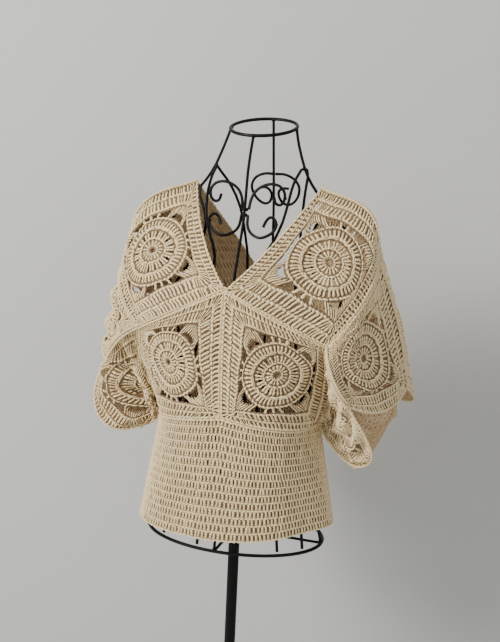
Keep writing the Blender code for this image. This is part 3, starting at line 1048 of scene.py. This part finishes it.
def mottle_group() -> bpy.types.NodeTree:
    """Group that varies a colour in wide clouds and fine flecks, and gives the flecks' height."""
    if "mottle" in bpy.data.node_groups:
        return bpy.data.node_groups["mottle"]
    sheet, given, result = effect_group(
        "mottle", (("Light", "Color", (1, 1, 1, 1)), ("Dark", "Color", (0, 0, 0, 1)),
                   ("Clouds", "Float", 8.0), ("Flecks", "Float", 900.0), ("Balance", "Float", 0.5)),
        (("Color", "Color"), ("Height", "Float")))
    place = sheet.node("TexCoord").outputs["Object"]
    clouds = sheet.node("TexNoise")
    flecks = sheet.node("TexNoise")
    for texture, label in ((clouds, "Clouds"), (flecks, "Flecks")):
        texture.inputs["Detail"].default_value = 3.0
        sheet.join(place, texture.inputs["Vector"])
        sheet.join(given.outputs[label], texture.inputs["Scale"])
    cloud = sheet.math("MULTIPLY", sheet.math("SUBTRACT", clouds.outputs["Fac"], 0.5), 1.1)
    fleck = sheet.math("MULTIPLY", sheet.math("SUBTRACT", flecks.outputs["Fac"], 0.5), 0.9)
    amount = sheet.math("ADD", sheet.math("ADD", cloud, fleck), given.outputs["Balance"])
    clamp = sheet.node("Clamp")
    sheet.join(amount, clamp.inputs["Value"])
    sheet.join(sheet.blend(clamp.outputs[0], given.outputs["Light"], given.outputs["Dark"]),
               result.inputs["Color"])
    sheet.join(flecks.outputs["Fac"], result.inputs["Height"])
    return sheet.tree


def ply_group() -> bpy.types.NodeTree:
    """Group that twists plies round every strand, from its "strand" attribute, and gives a mask of the
    grooves between the plies for painted shade.
    """
    if "ply_twist" in bpy.data.node_groups:
        return bpy.data.node_groups["ply_twist"]
    sheet, given, result = effect_group(
        "ply_twist", (("Plies", "Float", 3.0), ("Pitch", "Float", 5.0)),
        (("Height", "Float"), ("Groove Shade", "Float")))
    strand = sheet.node("Attribute", attribute_name="strand")
    parts = sheet.node("SeparateXYZ")
    sheet.join(strand.outputs["Vector"], parts.inputs[0])
    angle = sheet.math("ARCTAN2", parts.outputs["Y"], parts.outputs["X"])
    turned = sheet.math("MULTIPLY", sheet.math("DIVIDE", parts.outputs["Z"], given.outputs["Pitch"]),
                        2.0 * math.pi)
    phase = sheet.math("MULTIPLY", sheet.math("ADD", angle, turned), given.outputs["Plies"])
    wave = sheet.math("ABSOLUTE", sheet.math("SINE", sheet.math("MULTIPLY", phase, 0.5)))
    sheet.join(wave, result.inputs["Height"])
    # mask of the grooves between the plies, used for painted shade
    groove_shade = sheet.math("POWER", sheet.math("SUBTRACT", 1.0, wave), 3.0)
    sheet.join(groove_shade, result.inputs["Groove Shade"])
    return sheet.tree


def rows_group() -> bpy.types.NodeTree:
    """Group that shapes rows of stitches from the ground's "worked" attribute, and gives a mask of the gaps
    between the stitches for painted shade.
    """
    if "worked_rows" in bpy.data.node_groups:
        return bpy.data.node_groups["worked_rows"]
    sheet, given, result = effect_group(
        "worked_rows", (("Depth", "Float", 1.0),), (("Height", "Float"), ("Gap Shade", "Float")))
    parts = sheet.node("SeparateXYZ")
    sheet.join(sheet.node("Attribute", attribute_name="worked").outputs["Vector"], parts.inputs[0])
    row = sheet.math("FLOOR", parts.outputs["Y"])
    across = sheet.math("ADD", parts.outputs["X"], sheet.math("MULTIPLY", row, 0.5))
    post = sheet.math("ABSOLUTE", sheet.math("SINE", sheet.math("MULTIPLY", across, math.pi)))
    up = sheet.math("ABSOLUTE", sheet.math("SINE", sheet.math("MULTIPLY", parts.outputs["Y"], math.pi)))
    shape = sheet.math("MAXIMUM", post, sheet.math("SUBTRACT", 1.0, up))
    sheet.join(sheet.math("MULTIPLY", shape, given.outputs["Depth"]), result.inputs["Height"])
    # mask of the gaps between the stitches, used for painted shade
    sheet.join(sheet.math("POWER", sheet.math("SUBTRACT", 1.0, shape), 1.5), result.inputs["Gap Shade"])
    return sheet.tree


def placed_group(sheet: NodeSheet, tree: bpy.types.NodeTree, **values: object) -> bpy.types.Node:
    """Place a group in a material with its own values.

    Args:
        sheet: the material's sheet.
        tree: the group.
        values: inputs by name, sockets or constants.

    Returns:
        The group node.
    """
    made = sheet.node("Group", node_tree=tree)
    for name, value in values.items():
        if isinstance(value, bpy.types.NodeSocket):
            sheet.join(value, made.inputs[name])
        else:
            made.inputs[name].default_value = value
    return made


def new_material(name: str) -> tuple[bpy.types.Material, NodeSheet, bpy.types.Node]:
    """Start a material.

    Args:
        name: the material's name.

    Returns:
        The material, its sheet and its Principled shader.
    """
    material = bpy.data.materials.new(name)
    material.use_nodes = True
    return material, NodeSheet(material.node_tree), material.node_tree.nodes["Principled BSDF"]


@dataclass(frozen=True)
class YarnFinish:
    """Soft twisted cotton in cream, a little uneven from stitch to stitch. Painted shade darkens the grooves
    between plies, and on a ground the gaps between stitches; the grounds themselves take darker colours as
    painted shade.
    """

    name: str = "cream_cotton_yarn"
    light: tuple = (0.97, 0.79, 0.45, 1.0)
    dark: tuple = (0.80, 0.62, 0.36, 1.0)
    # painted shade colour for the grooves between plies and the gaps between stitches
    groove_shade: tuple = (0.42, 0.28, 0.13, 1.0)
    roughness: float = 0.88
    sheen: float = 0.18
    plied: bool = True

    def make(self) -> bpy.types.Material:
        """Build the material."""
        material, sheet, shader = new_material(self.name)
        mottle = placed_group(sheet, mottle_group(), Light=self.light, Dark=self.dark,
                              Clouds=9.0, Flecks=1400.0, Balance=0.35)
        colour = mottle.outputs["Color"]
        height = sheet.math("MULTIPLY", mottle.outputs["Height"], 0.35)
        if self.plied:
            tone = sheet.node("Attribute", attribute_name="tone").outputs["Fac"]
            shade = sheet.math("MULTIPLY", sheet.math("POWER", tone, 2.0), 0.45)
            colour = sheet.blend(shade, colour, self.dark)
            ply = placed_group(sheet, ply_group(), Plies=3.0, Pitch=7.0)
            # painted shade: darken the grooves between the plies
            colour = sheet.blend(sheet.math("MULTIPLY", ply.outputs["Groove Shade"], 0.55), colour, self.groove_shade)
            height = sheet.math("ADD", height, ply.outputs["Height"])
        else:
            rows = placed_group(sheet, rows_group(), Depth=1.6)
            # painted shade: darken the gaps between the stitches of the ground
            colour = sheet.blend(rows.outputs["Gap Shade"], colour, self.groove_shade)
            height = sheet.math("ADD", height, rows.outputs["Height"])
        sheet.join(colour, shader.inputs["Base Color"])
        bump = sheet.node("Bump")
        bump.inputs["Strength"].default_value = 0.55
        bump.inputs["Distance"].default_value = 0.0006 if self.plied else 0.0018
        sheet.join(height, bump.inputs["Height"])
        sheet.join(bump.outputs["Normal"], shader.inputs["Normal"])
        shader.inputs["Roughness"].default_value = self.roughness
        shader.inputs["Sheen Weight"].default_value = self.sheen
        shader.inputs["Sheen Roughness"].default_value = 0.5
        return material


@dataclass(frozen=True)
class PaintFinish:
    """Satin black paint over steel, with soft dust and a little unevenness."""

    name: str = "satin_black_paint"
    light: tuple = (0.0050, 0.0045, 0.0050, 1.0)
    dark: tuple = (0.0020, 0.0020, 0.0022, 1.0)
    roughness: float = 0.46
    dust: float = 0.0

    def make(self) -> bpy.types.Material:
        """Build the material."""
        material, sheet, shader = new_material(self.name)
        mottle = placed_group(sheet, mottle_group(), Light=self.light, Dark=self.dark,
                              Clouds=22.0, Flecks=600.0, Balance=0.5)
        colour = mottle.outputs["Color"]
        place = sheet.node("TexCoord").outputs["Object"]
        haze = sheet.noise(place, 35.0, 4.0)
        rough = sheet.math("ADD", sheet.math("MULTIPLY", haze, 0.22), self.roughness - 0.1)
        if self.dust:
            facing = sheet.node("SeparateXYZ")
            sheet.join(sheet.node("NewGeometry").outputs["Normal"], facing.inputs[0])
            upward = sheet.math("MAXIMUM", facing.outputs["Z"], 0.0)
            amount = sheet.math("MULTIPLY", sheet.math("MULTIPLY", upward, haze), self.dust)
            colour = sheet.blend(amount, colour, (0.30, 0.28, 0.25, 1.0))
            rough = sheet.math("ADD", rough, amount)
        sheet.join(colour, shader.inputs["Base Color"])
        sheet.join(rough, shader.inputs["Roughness"])
        bump = sheet.node("Bump")
        bump.inputs["Strength"].default_value = 0.12
        bump.inputs["Distance"].default_value = 0.0003
        sheet.join(mottle.outputs["Height"], bump.inputs["Height"])
        sheet.join(bump.outputs["Normal"], shader.inputs["Normal"])
        shader.inputs["Specular IOR Level"].default_value = 0.10
        shader.inputs["Coat Weight"].default_value = 0.04
        shader.inputs["Coat Roughness"].default_value = 0.3
        return material


# ---------------------------------------------------------------- the garment's pieces


COTTON_SLOT = "crochet_cotton"
BODY = "root"


@dataclass
class CrochetSquare:
    """A motif square: its ground with the lace's holes, and the yarn worked over it."""

    square: Square
    yarn: bpy.types.Material
    ground: bpy.types.Material
    seed: int
    ground_piece: Optional[bpy.types.Object] = None
    yarn_piece: Optional[bpy.types.Object] = None

    @staticmethod
    def ground_chart(column: np.ndarray, row: np.ndarray) -> np.ndarray:
        """Chart rows of the ground's grid points."""
        turn = 4.0 * (column % SECTORS) / SECTORS
        chart = np.zeros((len(column), 3))
        for number, (inner, outer, share) in enumerate(STATIONS):
            here = row == number
            chart[here, :2] = (1.0 - share) * inner.at(turn[here]) + share * outer.at(turn[here])
        return chart

    @staticmethod
    def plain_chart(column: np.ndarray, row: np.ndarray) -> np.ndarray:
        """Chart rows of a plain ground's grid points."""
        side = 2.0 * HALF_SQUARE
        return np.stack([side * column / PLAIN_STITCHES - HALF_SQUARE,
                         side * row / (2 * PLAIN_ROWS) - HALF_SQUARE, 0.0 * column], axis=1)

    def build(self) -> None:
        """Make the ground and the yarn."""
        label = self.square.label
        yarn = Yarn(self.seed)
        if self.square.plain or self.square.shut:
            mesh = ground_mesh(f"{label}_ground", 2 * PLAIN_ROWS, PLAIN_STITCHES, self.plain_chart,
                               is_never_hole, self.square, False, PER_MM)
        else:
            mesh = ground_mesh(f"{label}_ground", len(STATIONS) - 1, SECTORS, self.ground_chart,
                               is_hole, self.square, True, PER_MM)
        if self.square.plain:
            plain_rows(yarn)
        else:
            for row in RING_ROUNDS:
                ring_round(yarn, row)
            for row in SIDE_ROUNDS:
                side_round(yarn, row)
            eye_round(yarn)
        self.ground_piece = shown_object(f"{label}_ground", mesh, self.ground)
        for strand, groups in yarn.laid.items():
            yarn.laid[strand] = [self.laid(points) for points in groups]
        self.yarn_piece = shown_object(f"{label}_yarn", yarn.joined(f"{label}_yarn"), self.yarn)

    def cut_area(self) -> float:
        """Flat area of the square's cloth as cut, in square metres, less the lace's holes."""
        share = 1.0 if self.square.plain else lace_share()
        return share * SQUARE_CUT * SQUARE_CUT

    def laid(self, points: np.ndarray) -> np.ndarray:
        """Lay copies of a strand on the square."""
        return self.square.on_cloth(points.reshape(-1, 3)).reshape(points.shape)

    def dress(self, rests_on: Sequence[str]) -> None:
        """Hand both pieces to the frame.

        Args:
            rests_on: names of what the square lies on or hangs from; not used.
        """
        for piece in (self.ground_piece, self.yarn_piece):
            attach(piece, BODY)
        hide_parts(self.square.label)
        self.cut_area()


@dataclass
class CrochetBody:
    """The body tube: rows of upright stitches worked downwards from the squares to the hem."""

    tube: BodyTube
    yarn: bpy.types.Material
    ground: bpy.types.Material
    around: int = 150
    rows: int = 15
    seed: int = 90
    slit: float = 0.16
    slit_top: float = 0.22
    slit_foot: float = 0.70
    slits_in_ten: int = 3
    slits_near_hem: int = 1
    ground_piece: Optional[bpy.types.Object] = None
    yarn_piece: Optional[bpy.types.Object] = None

    def ground_chart(self, column: np.ndarray, row: np.ndarray) -> np.ndarray:
        """Chart rows of the ground's grid points: a slit between posts in every row."""
        stitch = (column // 2) % self.around
        stagger = 0.5 * (row // 2 % 2)
        turn = 4.0 * (stitch + stagger + np.where(column % 2 == 0, self.slit, 1.0 - self.slit)) / self.around
        share = np.where(row % 2 == 0, row // 2 + self.slit_top, row // 2 + self.slit_foot) / self.rows
        share = np.where(row == 0, 0.0, np.where(row == 2 * self.rows, 1.0, share))
        return np.stack([turn, share, np.zeros(len(turn))], axis=1)

    def is_slit(self, column: int, row: int) -> bool:
        """Whether a cell is a slit between two posts: some are, and fewer near the hem."""
        between = column % 2 == 1 and row % 2 == 0 and row > 0
        limit = self.slits_in_ten if row < 1.3 * self.rows else self.slits_near_hem
        return between and (column * 37 + row * 101 + column * row) % 10 < limit

    def build(self) -> None:
        """Make the ground and the yarn."""
        label = self.tube.label
        mesh = ground_mesh(f"{label}_ground", 2 * self.rows, 2 * self.around, self.ground_chart,
                           self.is_slit, self.tube, True, (self.around / 4.0, self.rows))
        self.ground_piece = shown_object(f"{label}_ground", mesh, self.ground)
        yarn = Yarn(self.seed)
        for strand in Strand:
            for row in range(self.rows):
                points = yarn.local(strand, self.around)
                stagger = 0.5 + 0.5 * (row % 2)
                turn = 4.0 * (np.arange(self.around)[:, None] + stagger + points[:, :, 0]) / self.around
                share = (row + points[:, :, 1]) / self.rows
                chart = np.stack([turn, share, points[:, :, 2]], axis=2)
                laid = self.tube.on_cloth(chart.reshape(-1, 3)).reshape(chart.shape)
                yarn.lay(strand, laid)
        self.yarn_piece = shown_object(f"{label}_yarn", yarn.joined(f"{label}_yarn"), self.yarn)

    def dress(self, rests_on: Sequence[str]) -> None:
        """Hand both pieces to the frame.

        Args:
            rests_on: names of what the tube hangs from; not used.
        """
        for piece in (self.ground_piece, self.yarn_piece):
            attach(piece, BODY)
        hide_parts(self.tube.label)


@dataclass
class JoiningChains:
    """Raised double ridges where panels are joined, and a single edging on open edges."""

    squares: Sequence[Square]
    yarn: bpy.types.Material
    stitches: int = 27
    ridge: float = 1.4
    proud: float = 0.2
    piece: Optional[bpy.types.Object] = None

    def outward(self, side: Side, start: str, end: str, t: np.ndarray) -> np.ndarray:
        """Mean outward direction of the squares that meet along a seam."""
        total = np.zeros((len(t), 3))
        for square in self.squares:
            if start not in square.corners or end not in square.corners:
                continue
            if square.side is not side and "_v" not in start + end:
                continue
            a, b, c, d = square.corners
            u, v = {(a, b): (t, 0 * t), (b, c): (0 * t + 1, t), (d, c): (t, 0 * t + 1),
                    (a, d): (0 * t, t)}.get((start, end), (None, None))
            if u is None:
                u, v = {(a, b): (1 - t, 0 * t), (b, c): (0 * t + 1, 1 - t), (d, c): (1 - t, 0 * t + 1),
                        (a, d): (0 * t, 1 - t)}[(end, start)]
            total += raised(square, u, v, 0 * t + 1.0) - raised(square, u, v, 0 * t)
        return total / np.maximum(np.linalg.norm(total, axis=1, keepdims=True), 1e-9)

    def chain(self, yarn: Yarn, side: Side, start: str, end: str, joined: bool) -> None:
        """Work the ridge or edging of one seam."""
        for way in ((1.0, -1.0) if joined else (0.0,)):
            points = yarn.local(Strand.LOOP, self.stitches, 0.7)
            number = np.arange(self.stitches)[:, None] + 0.5
            t = ((number + 1.1 * points[:, :, 0]) / self.stitches).reshape(-1)
            inside = np.clip(t, 0.0, 1.0)
            place = seam_at(side, start, end, t)
            along = seam_at(side, start, end, t + 0.01) - seam_at(side, start, end, t - 0.01)
            along /= np.linalg.norm(along, axis=1, keepdims=True)
            out = self.outward(side, start, end, inside)
            across = np.cross(out, along)
            across /= np.maximum(np.linalg.norm(across, axis=1, keepdims=True), 1e-9)
            spread = (points[:, :, 1].reshape(-1) * STITCH[1] - 11.3) * (way or 1.0) + way * self.ridge
            height = points[:, :, 2].reshape(-1) + (self.proud if joined else -CLOTH / 2.0)
            laid = to_world(place + across * spread[:, None] + out * height[:, None])
            yarn.lay(Strand.LOOP, laid.reshape(points.shape))

    def bridge(self, yarn: Yarn, drop: float) -> None:
        """Work a short chain across the foot of the V neck, so far below its edge."""
        stops = [(x, y, z - drop) for x, y, z in V_FOOT]
        count = len(V_FOOT) + 1
        points = yarn.local(Strand.LOOP, count, 0.7)
        t = ((np.arange(count)[:, None] + 0.5 + points[:, :, 0]) / count).reshape(-1)
        place = line_at(stops, t)
        place[:, 2] += points[:, :, 1].reshape(-1) * STITCH[1] - 11.3
        place[:, 1] -= points[:, :, 2].reshape(-1)
        yarn.lay(Strand.LOOP, to_world(place).reshape(points.shape))

    def build(self) -> None:
        """Make every ridge and edging as one piece."""
        yarn = Yarn(400)
        for start, end, _, _, joined in SEAMS:
            on_middle = CORNER_AT[start]["right"][0] == 0 and CORNER_AT[end]["right"][0] == 0
            for side in (Side.RIGHT,) if on_middle else Side:
                self.chain(yarn, side, start, end, joined)
        for drop in (0.0, 5.0):
            self.bridge(yarn, drop)
        self.piece = shown_object("joining_chains", yarn.joined("joining_chains"), self.yarn)

    def dress(self) -> None:
        """Hand the piece to the frame."""
        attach(self.piece, BODY)


@dataclass
class WireForm:
    """The dress form's own CAD nodes, dressed in paint."""

    paint: bpy.types.Material
    dusty: bpy.types.Material
    floor_nodes: tuple[str, ...] = ("base", "base_collar")
    beads: Optional[bpy.types.Object] = None

    def build(self) -> None:
        """Make the weld beads where wires meet."""
        bm = bmesh.new()
        for x, y, z, size in WELDS:
            place = Matrix.Translation(Vector((x, y, z + HIP_HEIGHT)) * MM)
            bmesh.ops.create_icosphere(bm, subdivisions=2, radius=size * MM, matrix=place)
        mesh = bpy.data.meshes.new("weld_beads")
        bm.to_mesh(mesh)
        bm.free()
        mesh.shade_smooth()
        self.beads = shown_object("weld_beads", mesh, self.paint)

    def dress(self) -> None:
        """Paint every node that isn't cloth, and hand the beads to the frame."""
        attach(self.beads, BODY)
        cloth = {node["node"] for node in frame["record"]["subparts"]
                 if node["material_slot"] == COTTON_SLOT}
        for name, node in frame["nodes"].items():
            if name in cloth:
                continue
            finish = self.dusty if name in self.floor_nodes else self.paint
            if not node.material_slots:
                node.data.materials.append(finish)
            for slot in node.material_slots:
                slot.material = finish


# ---------------------------------------------------------------- studio


@dataclass
class Studio:
    """A pale wall and floor, soft lamps and the camera."""

    wall: float = 0.42
    reach: float = 9.0
    key: tuple = (-1.7, -2.0, 2.5)
    key_watts: float = 135.0
    fill: tuple = (2.4, -2.2, 1.6)
    fill_watts: float = 20.0
    back: tuple = (-0.6, 2.6, 2.4)
    back_watts: float = 30.0
    middle: tuple = (0.0, 0.0, 1.0)
    eye: tuple = (0.453, -1.409, 1.306)
    heading: float = 0.305
    downward: float = 0.186
    roll: float = 0.046
    lens: float = 56.7

    def flat_piece(self, name: str, matrix: Matrix, colour: tuple, seen_from_behind: bool) -> None:
        """Make one big flat of the backdrop.

        Args:
            name: its name.
            matrix: where the flat lies.
            colour: its colour.
            seen_from_behind: whether its back shows.
        """
        bm = bmesh.new()
        bmesh.ops.create_grid(bm, x_segments=1, y_segments=1, size=self.reach, matrix=matrix)
        mesh = bpy.data.meshes.new(name)
        bm.to_mesh(mesh)
        bm.free()
        material, sheet, shader = new_material(name)
        shader.inputs["Base Color"].default_value = colour
        shader.inputs["Roughness"].default_value = 0.9
        if not seen_from_behind:
            clear = sheet.node("BsdfTransparent")
            mix = sheet.node("MixShader")
            sheet.join(sheet.node("NewGeometry").outputs["Backfacing"], mix.inputs[0])
            sheet.join(shader.outputs[0], mix.inputs[1])
            sheet.join(clear.outputs[0], mix.inputs[2])
            sheet.join(mix.outputs[0], material.node_tree.nodes["Material Output"].inputs[0])
        flat = shown_object(name, mesh, material)
        if not seen_from_behind:
            flat.visible_diffuse = False
            flat.visible_shadow = False

    def lamp(self, name: str, place: tuple, watts: float, size: float, colour: tuple) -> None:
        """Hang a soft square lamp that faces the object."""
        light = bpy.data.lights.new(name, "AREA")
        light.energy = watts
        light.size = size
        light.color = colour
        lamp = bpy.data.objects.new(name, light)
        lamp.location = place
        lamp.rotation_euler = (Vector(self.middle) - Vector(place)).to_track_quat("-Z", "Y").to_euler()
        lamp.visible_camera = False
        bpy.context.scene.collection.objects.link(lamp)

    def camera(self) -> None:
        """Set the camera."""
        a, p, r = self.heading, self.downward, self.roll
        level = Vector((-math.sin(a), math.cos(a), 0.0))
        right = Vector((math.cos(a), math.sin(a), 0.0))
        ahead = level * math.cos(p) - Vector((0, 0, 1)) * math.sin(p)
        above = Vector((0, 0, 1)) * math.cos(p) + level * math.sin(p)
        x_axis = right * math.cos(r) + above * math.sin(r)
        y_axis = above * math.cos(r) - right * math.sin(r)
        data = bpy.data.cameras.new("camera")
        data.lens = self.lens
        data.sensor_width = 36.0
        camera = bpy.data.objects.new("camera", data)
        camera.matrix_world = (Matrix.Translation(self.eye)
                               @ Matrix((x_axis, y_axis, -ahead)).transposed().to_4x4())
        bpy.context.scene.collection.objects.link(camera)
        bpy.context.scene.camera = camera

    def build(self) -> None:
        """Set the backdrop, the lamps, the world and the camera."""
        stand = Matrix.Translation((0, self.wall, 0)) @ Matrix.Rotation(math.pi / 2.0, 4, "X")
        self.flat_piece("wall", stand, (0.475, 0.478, 0.462, 1.0), False)
        self.flat_piece("floor", Matrix.Identity(4), (0.60, 0.59, 0.57, 1.0), True)
        self.lamp("key", self.key, self.key_watts, 1.3, (1.0, 0.975, 0.94))
        self.lamp("fill", self.fill, self.fill_watts, 2.0, (0.95, 0.97, 1.0))
        self.lamp("back", self.back, self.back_watts, 1.6, (1.0, 0.98, 0.95))
        world = bpy.data.worlds.new("room")
        world.use_nodes = True
        world.node_tree.nodes["Background"].inputs[0].default_value = (0.90, 0.92, 0.95, 1.0)
        world.node_tree.nodes["Background"].inputs[1].default_value = 0.62
        bpy.context.scene.world = world
        self.camera()


# What each square rests on. Keys: square names.
RESTS_ON = {
    "front_chest": ("front_wire", "branch_wire"),
    "front_shoulder": ("side_wire", "branch_wire"),
    "front_sleeve": ("side_wire",),
    "front_underarm": ("side_wire",),
    "back_chest": ("back_wire", "blade_wire"),
    "back_shoulder": ("side_wire", "blade_wire"),
    "back_sleeve": ("side_wire",),
    "back_underarm": ("side_wire",),
}


def main() -> None:
    """Build every piece in order."""
    logging.basicConfig(level=logging.INFO, format="%(name)s: %(message)s")
    yarn = YarnFinish().make()
    # painted shade: this ground under the stitches is dark brown, standing for the shade seen between the
    # stitches and through the lace
    ground = YarnFinish(name="painted_shade_cotton_ground", light=(0.21, 0.130, 0.062, 1.0),
                        dark=(0.13, 0.078, 0.036, 1.0), groove_shade=(0.07, 0.040, 0.018, 1.0),
                        roughness=0.95, sheen=0.1, plied=False).make()
    # painted shade and light: the back panels' ground is orange-brown, standing for the inside of the top in
    # shade and lit through the cloth
    inner = YarnFinish(name="inner_cotton_painted_shade_and_glow", light=(0.74, 0.50, 0.28, 1.0),
                       dark=(0.56, 0.37, 0.20, 1.0), groove_shade=(0.26, 0.155, 0.075, 1.0),
                       roughness=0.95, sheen=0.1, plied=False).make()
    squares = []
    for name, corners, right, left in SQUARES:
        for side, middle in ((Side.RIGHT, right), (Side.LEFT, left)):
            slack = SLACK.get(f"{name}_{side.value}", USUAL_SLACK)
            squares.append(Square(name, side, corners, middle, slack))
    for seed, square in enumerate(squares):
        # back panels take the inner ground, painted as shaded and lit through the cloth
        worked = CrochetSquare(square, yarn, inner if square.name.startswith("back") else ground, seed)
        worked.build()
        wires = [wire if wire in frame["nodes"] else f"{wire}_{square.side.value}"
                 for wire in RESTS_ON[square.name]]
        worked.dress(wires)
        log.info("%s: %d faces of yarn", square.label, len(worked.yarn_piece.data.polygons))
    body = CrochetBody(BodyTube(), yarn, ground)
    body.build()
    body.dress(["joining_chains"])
    log.info("body_tube: %d faces of yarn", len(body.yarn_piece.data.polygons))
    chains = JoiningChains(squares, yarn)
    chains.build()
    chains.dress()
    log.info("joining chains: %d faces", len(chains.piece.data.polygons))
    form = WireForm(PaintFinish().make(), PaintFinish(name="dusty_black_paint", dust=0.5).make())
    form.build()
    form.dress()
    log.info("weld beads: %d", len(WELDS))
    Studio().build()


if __name__ == "__main__":
    main()
